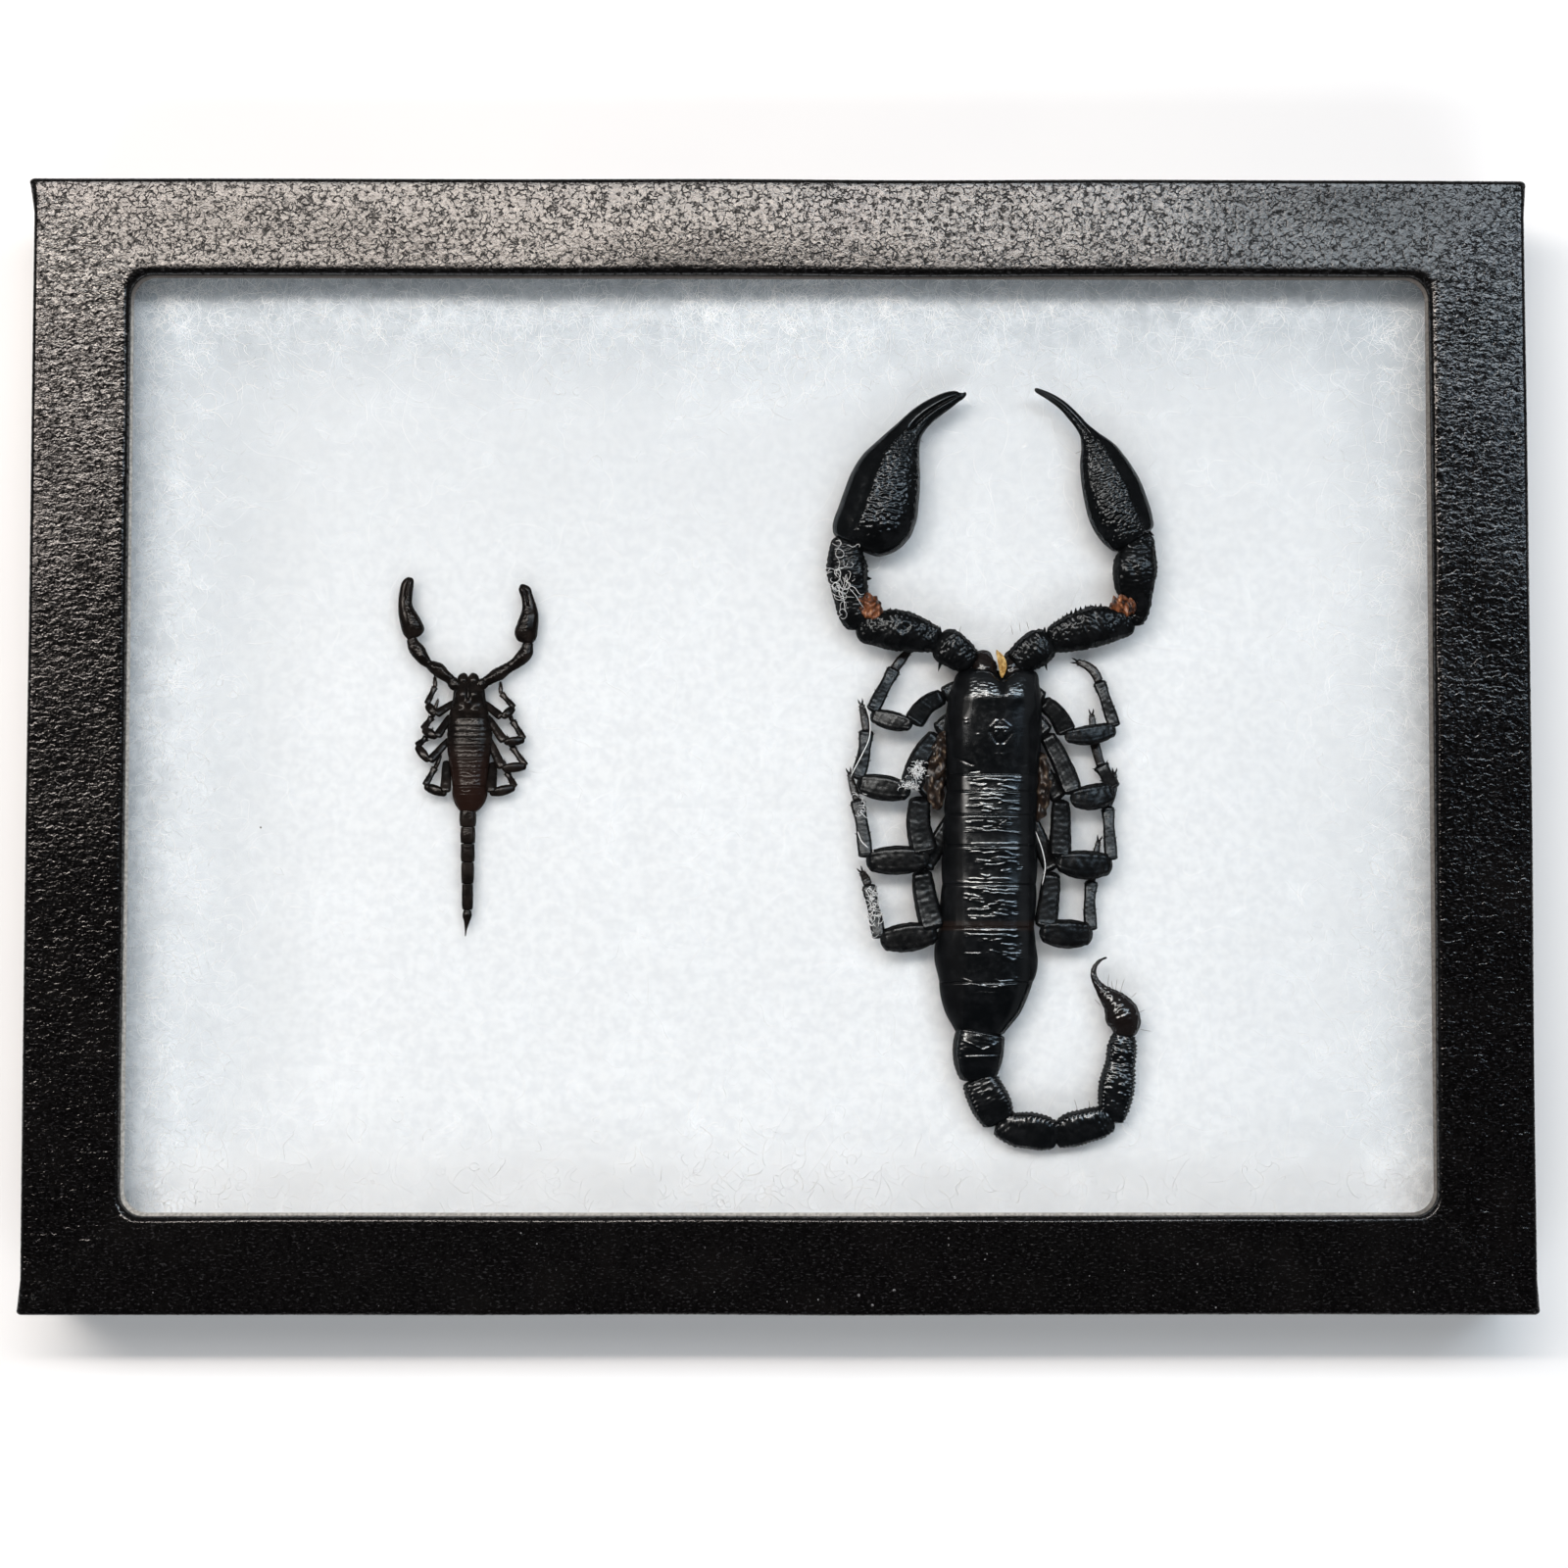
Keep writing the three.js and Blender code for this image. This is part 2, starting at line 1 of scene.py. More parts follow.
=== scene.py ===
# Framed scorpions: a black leatherette display case with a glass window, white batting, and a large and
# a small dried scorpion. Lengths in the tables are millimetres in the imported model's frame: the origin is
# under the middle of the case, +Y is the way the scorpions face, +Z comes up through the glass.
import itertools
import math

import bpy
import numpy as np
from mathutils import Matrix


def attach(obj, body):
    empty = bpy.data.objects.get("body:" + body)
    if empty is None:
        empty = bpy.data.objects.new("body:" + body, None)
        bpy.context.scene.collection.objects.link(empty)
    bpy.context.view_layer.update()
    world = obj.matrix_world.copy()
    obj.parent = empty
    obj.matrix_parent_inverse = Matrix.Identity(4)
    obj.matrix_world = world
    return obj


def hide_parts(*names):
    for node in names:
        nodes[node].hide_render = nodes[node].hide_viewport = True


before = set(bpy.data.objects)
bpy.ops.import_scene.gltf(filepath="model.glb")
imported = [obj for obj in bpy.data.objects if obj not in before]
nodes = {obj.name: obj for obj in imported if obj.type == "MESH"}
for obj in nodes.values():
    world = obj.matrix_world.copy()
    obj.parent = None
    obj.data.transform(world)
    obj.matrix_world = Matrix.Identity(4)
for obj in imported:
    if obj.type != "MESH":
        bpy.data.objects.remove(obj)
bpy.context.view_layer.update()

mm = 0.001
scene = bpy.context.scene
rng = np.random.default_rng(41)


# a socket of a shader; arithmetic on it adds Math nodes
class Wire:
    def __init__(self, paint, socket):
        self.paint = paint
        self.socket = socket

    def math(self, operation, first, second=0.0, third=None):
        values = {0: first, 1: second}
        if third is not None:
            values[2] = third
        return self.paint.node("ShaderNodeMath", {"operation": operation}, values)

    def __add__(self, other):
        return self.math("ADD", self, other)

    def __radd__(self, other):
        return self.math("ADD", other, self)

    def __sub__(self, other):
        return self.math("SUBTRACT", self, other)

    def __rsub__(self, other):
        return self.math("SUBTRACT", other, self)

    def __mul__(self, other):
        return self.math("MULTIPLY", self, other)

    def __rmul__(self, other):
        return self.math("MULTIPLY", other, self)

    def __truediv__(self, other):
        return self.math("DIVIDE", self, other)

    def __pow__(self, other):
        return self.math("POWER", self, other)

    # 0 below low, 1 above high, smooth between
    def step(self, low, high):
        settings = {"interpolation_type": "SMOOTHSTEP"}
        return self.paint.node("ShaderNodeMapRange", settings, {"Value": self, "From Min": low, "From Max": high})


# a material and the one way to add nodes to it
class Paint:
    def __init__(self, name, blocks=bpy.data.materials):
        self.material = blocks.new(name)
        self.material.use_nodes = True
        self.tree = self.material.node_tree
        self.tree.nodes.clear()

    def node(self, kind, settings=None, sockets=None, out=0):
        made = self.tree.nodes.new(kind)
        for key, value in (settings or {}).items():
            if key == "stops":
                ramp = made.color_ramp.elements
                while len(ramp) < len(value):
                    ramp.new(0.5)
                for stop, (place, colour) in zip(ramp, value):
                    stop.position = place
                    stop.color = (*colour, 1)
            else:
                setattr(made, key, value)
        for key, value in (sockets or {}).items():
            if isinstance(value, Wire):
                self.tree.links.new(value.socket, made.inputs[key])
            else:
                made.inputs[key].default_value = value
        return Wire(self, made.outputs[out]) if made.outputs else None

    def place(self):
        return self.node("ShaderNodeTexCoord", out="Object")

    # the place stretched or squeezed along each axis
    def stretched(self, where, factors):
        return self.node("ShaderNodeVectorMath", {"operation": "MULTIPLY"}, {0: where, 1: factors})

    def axis(self, where, name):
        return self.node("ShaderNodeSeparateXYZ", None, {0: where}, name)

    def noise(self, where, size, detail=4.0, roughness=0.55):
        return self.node("ShaderNodeTexNoise", None,
                         {"Vector": where, "Scale": 1 / (size * mm), "Detail": detail, "Roughness": roughness})

    def cells(self, where, size, feature="F1", out="Distance", jitter=1.0):
        return self.node("ShaderNodeTexVoronoi", {"feature": feature},
                         {"Vector": where, "Scale": 1 / (size * mm), "Randomness": jitter}, out)

    def own(self, name):
        return self.node("ShaderNodeAttribute", {"attribute_name": name}, None, "Fac")

    def mix(self, share, first, second):
        fill = [value if isinstance(value, Wire) else (*value, 1) for value in (first, second)]
        return self.node("ShaderNodeMix", {"data_type": "RGBA"}, {0: share, 6: fill[0], 7: fill[1]}, 2)

    def bump(self, height, depth, strength=1.0, under=None):
        sockets = {"Height": height, "Distance": depth * mm, "Strength": strength}
        if under:
            sockets["Normal"] = under
        return self.node("ShaderNodeBump", None, sockets)

    def shader(self, settings=None, **sockets):
        return self.node("ShaderNodeBsdfPrincipled", settings,
                         {key.replace("_", " "): value for key, value in sockets.items()})

    def blend(self, share, first, second):
        return self.node("ShaderNodeMixShader", None, {0: share, 1: first, 2: second})

    def finish(self, shader):
        self.node("ShaderNodeOutputMaterial", None, {"Surface": shader})
        return self.material

    def surface(self, settings=None, **sockets):
        return self.finish(self.shader(settings, **sockets))


# mesh from parts; a part is points in millimetres, faces as rows of corner numbers, a finish and point values
def putMesh(name, parts, finishes, replaced=()):
    mesh = bpy.data.meshes.new(name)
    points, loops, starts, looks, values = [], [], [], [], {}
    first, corner = 0, 0
    keys = sorted({key for part in parts for key in part.get("values", {})})
    for part in parts:
        spots = part["points"].reshape(-1, 3)
        points.append(spots)
        for faces in part["faces"]:
            loops.append(faces.ravel() + first)
            starts.append(corner + np.arange(len(faces)) * faces.shape[1])
            looks.append(np.full(len(faces), part.get("finish", 0)))
            corner += faces.size
        for key in keys:
            own = part.get("values", {}).get(key, np.zeros(len(spots)))
            values.setdefault(key, []).append(np.broadcast_to(own, spots.shape[:1] if np.ndim(own) < 2 else own.shape))
        first += len(spots)
    points, loops = np.concatenate(points) * mm, np.concatenate(loops)
    starts, looks = np.concatenate(starts), np.concatenate(looks)
    mesh.vertices.add(len(points))
    mesh.vertices.foreach_set("co", points.astype(np.float32).ravel())
    mesh.loops.add(len(loops))
    mesh.loops.foreach_set("vertex_index", loops.astype(np.int32))
    mesh.polygons.add(len(starts))
    mesh.polygons.foreach_set("loop_start", starts.astype(np.int32))
    mesh.polygons.foreach_set("material_index", looks.astype(np.int32))
    mesh.polygons.foreach_set("use_smooth", np.ones(len(starts), bool))
    mesh.update(calc_edges=True)
    mesh.validate()
    for key in keys:
        attribute = mesh.attributes.new(key, "FLOAT", "POINT")
        attribute.data.foreach_set("value", np.concatenate([np.ravel(v) for v in values[key]]).astype(np.float32))
    for finish in finishes:
        mesh.materials.append(finish)
    piece = bpy.data.objects.new(name, mesh)
    scene.collection.objects.link(piece)
    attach(piece, "root")
    if replaced:
        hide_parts(*replaced)
    return piece


# quads between neighbouring rows of a grid of corners, closed across the columns for a ring
def gridFaces(rows, cols, ring=True):
    r = np.arange(rows - 1)[:, None]
    c = np.arange(cols if ring else cols - 1)[None, :]
    n = (c + 1) % cols
    return np.stack([r * cols + c, r * cols + n, (r + 1) * cols + n, (r + 1) * cols + c], -1).reshape(-1, 4)


# triangles from a ring of corners to one more corner that closes its end
def capFaces(start, cols, pole, last):
    c = start + np.arange(cols)
    n = start + (np.arange(cols) + 1) % cols
    tip = np.full(cols, pole)
    return np.stack([tip, c, n] if last else [tip, n, c], -1)


# closed skin from rings of points: rows of quads, and a fan to the middle of the first and the last ring; the
# point value "dull" grows to 1 as the skin turns from level to steep
def ringSkin(rings, finish=0, values=None, steep=(0.40, 0.80)):
    rows, cols = rings.shape[:2]
    outward = np.cross(np.roll(rings, -1, 1) - np.roll(rings, 1, 1), np.gradient(rings, axis=0))
    level = outward[..., 2] / (np.linalg.norm(outward, axis=2) + 1e-9)
    values = dict(values or {})
    values["dull"] = np.maximum(1 - rise(level, *steep), values.get("dull", 0))
    poles = np.stack([rings[0].mean(0), rings[-1].mean(0)])
    points = np.concatenate([rings.reshape(-1, 3), poles])
    total = rows * cols
    faces = [gridFaces(rows, cols),
             np.concatenate([capFaces(0, cols, total, False), capFaces(total - cols, cols, total + 1, True)])]
    spread = {key: np.concatenate([np.broadcast_to(v, (rows, cols)).ravel(), [0, 0]]) for key, v in values.items()}
    return {"points": points, "faces": faces, "finish": finish, "values": spread}


# smooth line through rows of numbers: Hermite cubics whose slopes are the mean slopes beside each row,
# sampled along the plan length, closer together at both ends by the share given
def smoothRows(rows, count, crowd=0.0):
    rows = np.asarray(rows, float)
    run = np.r_[0, np.cumsum(np.linalg.norm(np.diff(rows[:, :2], axis=0), axis=1))]
    slope = np.gradient(rows, run, axis=0)
    even = np.linspace(0, 1, count)
    at = run[-1] * ((1 - crowd) * even + crowd * (0.5 - 0.5 * np.cos(math.pi * even)))
    i = np.clip(np.searchsorted(run, at, "right") - 1, 0, len(rows) - 2)
    h = (run[i + 1] - run[i])[:, None]
    s = (at - run[i])[:, None] / h
    return ((2 * s**3 - 3 * s**2 + 1) * rows[i] + (s**3 - 2 * s**2 + s) * h * slope[i]
            + (3 * s**2 - 2 * s**3) * rows[i + 1] + (s**3 - s**2) * h * slope[i + 1]), at


# piecewise smooth value of y from a table of (y, value) that may run either way
def along(table, y):
    table = np.asarray(table, float)
    table = table[np.argsort(table[:, 0])]
    slope = np.gradient(table[:, 1], table[:, 0])
    i = np.clip(np.searchsorted(table[:, 0], y, "right") - 1, 0, len(table) - 2)
    h = table[i + 1, 0] - table[i, 0]
    s = np.clip((y - table[i, 0]) / h, 0, 1)
    return ((2 * s**3 - 3 * s**2 + 1) * table[i, 1] + (s**3 - 2 * s**2 + s) * h * slope[i]
            + (3 * s**2 - 2 * s**3) * table[i + 1, 1] + (s**3 - s**2) * h * slope[i + 1])


# bell of height 1 and the given half width round a middle
def bell(value, middle, width):
    return np.exp(-((value - middle) / width) ** 2)


# smooth 0 to 1 from low to high
def rise(value, low, high):
    s = np.clip((value - low) / (high - low), 0, 1)
    return s * s * (3 - 2 * s)


# soft lumps of about the given size: mean of sine waves in scattered directions, each with its own phase
def lumps(points, size, seed, waves=14):
    own = np.random.default_rng(seed)
    ways = own.normal(size=(waves, points.shape[-1]))
    ways *= (2 * math.pi / size) * own.uniform(0.6, 1.4, (waves, 1)) / np.linalg.norm(ways, axis=1, keepdims=True)
    phases = own.uniform(0, 2 * math.pi, waves)
    return np.sin(points @ ways.T + phases).sum(-1) / math.sqrt(waves)


# how far the nearest of the spots is that lie scattered, one in each unit square
def spotDistance(u, v, seed):
    spots = np.random.default_rng(seed).random((61, 61, 2))
    cellU, cellV = np.floor(u).astype(int), np.floor(v).astype(int)
    nearest = np.full(np.shape(u), 9.0)
    for stepU, stepV in itertools.product((-1, 0, 1), repeat=2):
        spot = spots[(cellU + stepU) % 61, (cellV + stepV) % 61]
        nearest = np.minimum(nearest, np.hypot(cellU + stepU + spot[..., 0] - u, cellV + stepV + spot[..., 1] - v))
    return nearest


# rounded grains about one unit apart, 0 to 1 high
def grains(u, v, seed):
    return 1 - rise(spotDistance(u, v, seed), 0.10, 0.62)


# share of full size along a run whose two ends close like quarter circles of the given lengths
def roundEnds(run, lengths):
    ends = np.ones_like(run)
    for far, length in ((run, lengths[0]), (run[-1] - run, lengths[1])):
        if length:
            ends = ends * np.sqrt(np.clip(1 - np.clip(1 - far / length, 0, 1) ** 2, 0.0004, 1))
    return ends


# signed power
def signedPower(value, power):
    return np.sign(value) * np.abs(value) ** power


# points of a circle squared up towards a box: the radius in each direction is that of a superellipse whose
# power is 2 over the squareness
def squaredCircle(angle, square):
    power = 2 / square
    radius = (np.abs(np.cos(angle)) ** power + np.abs(np.sin(angle)) ** power) ** (-1 / power)
    return radius * np.cos(angle), radius * np.sin(angle)


# ellipse carried along a line: rows are x, y, z, half width, half height; rings stand across the line in
# plan, both ends are rounded over the given lengths, and relief(run, angle, points) pushes the skin out
def limbRings(rows, count, sides, rounds=(0.5, 0.5), square=1.0, relief=None, crowd=0.5):
    line, run = smoothRows(rows, count, crowd)
    ahead = np.gradient(line[:, :2], axis=0)
    ahead /= np.linalg.norm(ahead, axis=1, keepdims=True)
    left = np.stack([-ahead[:, 1], ahead[:, 0], np.zeros(count)], 1)
    ends = roundEnds(run, rounds)
    wide, tall = line[:, 3] * ends, line[:, 4] * ends
    angle = np.linspace(0, 2 * math.pi, sides, endpoint=False)
    cosine, sine = squaredCircle(angle, square)
    rings = line[:, None, :3] + (wide[:, None] * cosine)[..., None] * left[:, None, :]
    rings[..., 2] += tall[:, None] * sine
    if relief:
        outX, outZ = (signedPower(wave, 2 / square - 1) for wave in (cosine, sine))
        out = (outX / np.maximum(wide, 0.05)[:, None])[..., None] * left[:, None, :]
        out[..., 2] += outZ / np.maximum(tall, 0.05)[:, None]
        out /= np.linalg.norm(out, axis=2, keepdims=True) + 1e-9
        rings = rings + out * (relief(run[:, None], angle[None, :], rings) * ends[:, None])[..., None]
    return rings


# thin tubes with three sides along many lines at once: lines is fibres x points x 3, radius one per fibre,
# drawn to nothing at the tips
def fibreTubes(lines, radius, finish=0):
    count, steps = lines.shape[:2]
    ahead = np.gradient(lines, axis=1)
    ahead /= np.linalg.norm(ahead, axis=2, keepdims=True) + 1e-9
    side = np.cross(ahead, np.array([0.31, 0.22, 0.92]))
    side /= np.linalg.norm(side, axis=2, keepdims=True) + 1e-9
    other = np.cross(ahead, side)
    taper = np.sqrt(np.clip(1 - np.abs(np.linspace(-1, 1, steps)) ** 6, 0.02, 1))
    turn = np.arange(3) * 2 * math.pi / 3
    thick = (radius[:, None] * taper)[:, :, None, None]
    rings = lines[:, :, None, :] + thick * (np.cos(turn)[:, None] * side[:, :, None, :]
                                           + np.sin(turn)[:, None] * other[:, :, None, :])
    quads = gridFaces(steps, 3)
    ends = np.array([[2, 1, 0], [3 * steps - 3, 3 * steps - 2, 3 * steps - 1]])
    shift = (np.arange(count) * steps * 3)[:, None, None]
    return {"points": rings.reshape(-1, 3), "finish": finish,
            "faces": [(quads + shift).reshape(-1, 4), (ends + shift).reshape(-1, 3)]}


# camera and light
camera = {"place": (-2.12, -28.79, 471.04), "tilt": 2.873, "pan": -0.346, "roll": 0.028, "lens": 70.05}
lens = bpy.data.cameras.new("camera")
lens.lens = camera["lens"]
lens.sensor_width = 36
lens.clip_start = 0.01
lens.clip_end = 20
eye = bpy.data.objects.new("camera", lens)
eye.location = [value * mm for value in camera["place"]]
eye.rotation_euler = [math.radians(camera[key]) for key in ("tilt", "pan", "roll")]
scene.collection.objects.link(eye)
scene.camera = eye
scene.view_settings.view_transform = "Standard"

# flat lamps that face down, just outside what the glass mirrors: the row beyond the upper border gives the
# paper its sheen and the shells their crosswise glints
lamps = {
    "windowLeft": {"place": (-285, 352, 900), "size": (650, 154), "power": 3.7, "colour": (1.0, 0.965, 0.93)},
    "windowRight": {"place": (365, 352, 900), "size": (650, 154), "power": 3.1, "colour": (0.82, 0.92, 1.0)},
    "sill": {"place": (-260, 294, 899), "size": (900, 50), "power": 3.6, "colour": (1.0, 0.85, 0.74)},
    "leftPane": {"place": (-480, 190, 900), "size": (320, 160), "power": 1.0, "colour": (1.0, 0.90, 0.83)},
    "rightPane": {"place": (500, 210, 899), "size": (300, 140), "power": 0.5, "colour": (0.62, 0.81, 1.0)},
    "near": {"place": (0, -800, 760), "size": (1500, 600), "power": 8.0, "colour": (0.97, 0.985, 1.0)},
}
for name, lamp in lamps.items():
    data = bpy.data.lights.new(name, "AREA")
    data.shape = "RECTANGLE"
    data.size, data.size_y = (side * mm for side in lamp["size"])
    data.energy = lamp["power"]
    data.color = lamp["colour"]
    light = bpy.data.objects.new(name, data)
    light.location = [value * mm for value in lamp["place"]]
    light.visible_glossy = name != "near"
    scene.collection.objects.link(light)

# room light: pale walls, dark over the case and on the near side, where the glass and the shells mirror it
room = {"overhead": 0.006, "walls": 0.14, "dark": 0.80, "bright": 0.62, "axis": (0, -0.45, 0.893),
        "tint": (0.955, 0.98, 1.0)}
worldPaint = Paint("studio", bpy.data.worlds)
way = worldPaint.node("ShaderNodeTexCoord", out="Generated")
facing = worldPaint.node("ShaderNodeVectorMath", {"operation": "DOT_PRODUCT"}, {0: way, 1: room["axis"]}, "Value")
level = room["walls"] - (room["walls"] - room["overhead"]) * facing.step(room["bright"], room["dark"])
sky = worldPaint.node("ShaderNodeBackground", None, {"Color": (*room["tint"], 1), "Strength": level})
worldPaint.node("ShaderNodeOutputWorld", None, {"Surface": sky})
scene.world = worldPaint.material
print("camera and light")

# pale floor
floorPaint = Paint("pale_floor")
floorSpot = floorPaint.place()
floorTone = floorPaint.noise(floorSpot, 40).step(0.3, 0.7)
floorPaint.surface(Base_Color=floorPaint.mix(floorTone, (0.935, 0.95, 0.97), (0.955, 0.97, 0.985)), Roughness=0.6)
floorGrid = np.stack(np.meshgrid(np.linspace(-1500, 1500, 3), np.linspace(-1500, 1500, 3)), -1).reshape(-1, 2)
floorPart = {"points": np.column_stack([floorGrid, np.full(9, -0.02)]), "faces": [gridFaces(3, 3, False)]}
floorMesh = bpy.data.meshes.new("floor")
floorMesh.from_pydata((floorPart["points"] * mm).tolist(), [], floorPart["faces"][0].tolist())
floorMesh.materials.append(floorPaint.material)
floor = bpy.data.objects.new("floor", floorMesh)
scene.collection.objects.link(floor)

# black leatherette paper: cells and wrinkles pressed into it, dust on it, worn patches
leatherette = {"grain": 0.95, "drift": 1.5, "depth": 0.028, "black": (0.0018, 0.0016, 0.0017), "worn": (0.0042, 0.0037, 0.0036)}


def leatherettePaint():
    paint = Paint("black_leatherette")
    spot = paint.place()
    x = paint.axis(spot, "X")
    y = paint.axis(spot, "Y")
    slant = (x.math("ABSOLUTE", x) - y.math("ABSOLUTE", y)) / mm + 9 * paint.noise(spot, 2.2, 2.0)
    sides = slant.step(31.4, 31.6)
    drift = paint.node("ShaderNodeTexNoise", None, {"Vector": spot, "Scale": 1100.0, "Detail": 2.0}, 1)
    wavy = paint.node("ShaderNodeVectorMath", {"operation": "ADD"},
                      {0: spot, 1: paint.stretched(drift, [leatherette["drift"] * mm] * 3)})
    draw = paint.node("ShaderNodeCombineXYZ", None, {"X": 1 - 0.64 * sides, "Y": 1 + 0.25 * sides, "Z": 1.0})
    drawn = paint.node("ShaderNodeVectorMath", {"operation": "MULTIPLY"}, {0: wavy, 1: draw})
    broken = paint.noise(spot, 0.8, 2.0).step(0.40, 0.56)
    skin = 1 - (1 - paint.cells(drawn, leatherette["grain"], "DISTANCE_TO_EDGE").step(0.0, 0.17)) * broken
    swell = paint.noise(drawn, 0.75, 1.0) * (1 + 2.4 * sides)
    grain = (skin * 0.35 + paint.noise(spot, 0.25, 2.0) * 0.2) * (1 - 0.8 * sides) + swell * 0.9
    speck = paint.cells(spot, 2.6, "F1") * -1.0 + paint.noise(spot, 30, 2.0) * 0.18
    dust = speck.step(0.034, 0.064)
    tone = paint.mix(paint.noise(spot, 9, 5.0).step(0.45, 0.75), leatherette["black"], leatherette["worn"])
    # pale flecks painted into the paper's colour as faint glints of its grain
    paintedGlintFlecks = paint.noise(paint.stretched(spot, (0.6, 1.3, 1.0)), 0.4, 2.0).step(0.55, 0.70)
    tone = paint.mix(paintedGlintFlecks, tone, (0.024, 0.0235, 0.025))
    tone = paint.mix(dust * 0.6, tone, (0.30, 0.30, 0.31))
    rough = 0.130 - 0.06 * sides + 0.08 * paint.noise(spot, 0.6, 2.0).step(0.3, 0.8) + 0.4 * dust
    raised = paint.shader(Base_Color=tone, Roughness=rough, Specular_IOR_Level=0.43, Normal=paint.bump(grain, leatherette["depth"]))
    sunk = paint.shader(Base_Color=(*leatherette["black"], 1), Roughness=0.8, Specular_IOR_Level=0.08)
    return paint.finish(paint.blend((1 - skin) * 0.97, raised, sunk))


# raw grey-white board where the paper ends inside the window
def boardEdgePaint():
    paint = Paint("raw_board_edge")
    spot = paint.place()
    fuzz = paint.noise(spot, 0.5, 5.0)
    tone = paint.mix(fuzz.step(0.35, 0.65), (0.34, 0.33, 0.31), (0.62, 0.61, 0.58))
    x, y = (paint.axis(spot, name) / mm for name in "XY")
    # painted shade: the edge darker along the upper and the right side of the window
    paintedRimShade = x.math("MAXIMUM", y.step(62, 68), 0.8 * x.step(85, 95))
    tone = paint.mix(paintedRimShade * 0.9, tone, (0.075, 0.065, 0.06))
    return paint.surface(Base_Color=tone, Roughness=0.9, Normal=paint.bump(fuzz, 0.05))


leather = leatherettePaint()
boardEdge = boardEdgePaint()
nodes["case_tray"].data.materials.clear()
nodes["case_tray"].data.materials.append(leather)

# lid: a section carried round the case between the outer edge and the window
lid = {
    "half": (111.0, 84.0), "height": 22.0, "rim": 1.0, "board": 1.8, "border": 14.4,
    "outerFold": 0.7, "windowFold": 0.9, "outerCorner": 0.9, "windowCorner": 3.4, "paleLip": 0.38,
    "ears": [(-1, 1, 1.0), (-1, -1, 0.7), (1, 1, 0.45), (1, -1, 0.5)],  # corner, how far the paper stands out
}


# closed section of the lid as distance in from the outer edge and height: wall, fold, border, window fold,
# pale lip, underside, inner wall
def lidSection():
    top, board, border = lid["height"], lid["board"], lid["border"]
    quarter = np.linspace(0, math.pi / 2, 7)
    outer, inner = lid["outerFold"], lid["windowFold"]
    wall = np.column_stack([np.zeros(9), np.linspace(lid["rim"], top - outer, 9)])
    fold = np.column_stack([outer * (1 - np.cos(quarter)), top - outer + outer * np.sin(quarter)])[1:]
    face = np.column_stack([np.linspace(outer, border - inner, 26), np.full(26, top)])[1:]
    turn = np.column_stack([border - inner + inner * np.sin(quarter), top - inner + inner * np.cos(quarter)])[1:]
    lipTop = top - board + 0.42
    lip = np.array([[border, lipTop + 0.05], [border, lipTop], [border + lid["paleLip"], lipTop - 0.06],
                    [border + lid["paleLip"], top - board + 0.02], [border - 0.5, top - board]])
    under = np.array([[board, top - board], [board, lid["rim"]]])
    section = np.concatenate([wall, fold, face, turn, lip, under])
    firstPale = len(wall) + len(fold) + len(face) + len(turn) + 1
    return section, firstPale


# rounded rectangle at a distance in from the outer edge: straight runs and quarter circles, the corner
# radius growing from the outer corner's to the window's
def lidPath(inset):
    share = np.clip(inset / lid["border"], 0, 1)
    radius = lid["outerCorner"] + (lid["windowCorner"] - lid["outerCorner"]) * share
    halfX, halfY = lid["half"][0] - inset - radius, lid["half"][1] - inset - radius
    straight = np.linspace(-1, 1, 40)[1:-1]
    bend = np.linspace(0, math.pi / 2, 11)
    runs = []
    for turn, (cx, cy) in enumerate(((1, 1), (-1, 1), (-1, -1), (1, -1))):
        angle = bend + turn * math.pi / 2
        runs.append(np.stack([cx * halfX + radius * np.cos(angle), cy * halfY + radius * np.sin(angle)], -1))
        along = -straight if turn in (0, 1) else straight
        if turn in (0, 2):
            runs.append(np.stack([along * halfX, np.full(38, cy * (halfY + radius))], -1))
        else:
            runs.append(np.stack([np.full(38, cx * (halfX + radius)), along * halfY], -1))
    return np.concatenate(runs)


def makeLid():
    section, firstPale = lidSection()
    paths = np.stack([lidPath(inset) for inset, _ in section], 1)
    rings = np.concatenate([paths, np.broadcast_to(section[:, 1], paths.shape[:2])[..., None]], 2)
    rows, cols = rings.shape[:2]
    # hand-wrapped paper: edges a little uneven, and pinched out into small ears at the upper corners
    sway = 0.10 * lumps(rings * [1, 1, 0.2], 60, 3) * (section[:, 0] < 14.6)
    rings[..., 0] += sway * np.sign(rings[..., 0])
    rings[..., 1] += 0.6 * sway * np.sign(rings[..., 1])
    rings[..., 2] += 0.05 * lumps(rings[..., :2], 24, 5) * (section[:, 1] > 21.9)
    for cx, cy, reach in lid["ears"]:
        near = np.hypot(rings[..., 1] - cy * lid["half"][1], 0.5 * (rings[..., 0] - cx * lid["half"][0]))
        pull = reach * np.exp(-(near / 1.5) ** 2) * bell(section[:, 1], 21.2, 0.9) * (section[:, 0] < 1.2)
        rings[..., 0] += cx * pull
    faces = gridFaces(rows + 1, cols)
    faces = np.where(faces >= rows * cols, faces - rows * cols, faces)
    pale = (faces[:, 0] % cols >= firstPale) & (faces[:, 0] % cols < firstPale + 3)
    spots = rings.reshape(-1, 3)
    parts = [{"points": spots, "faces": [faces[~pale][:, ::-1]]}]
    lidPiece = putMesh("lid", [{"points": spots, "faces": [faces[:, ::-1]]}], [leather, boardEdge],
                       ["case_lid"])
    lidPiece.data.polygons.foreach_set("material_index", pale.astype(np.int32))
    return lidPiece


makeLid()
print("case")

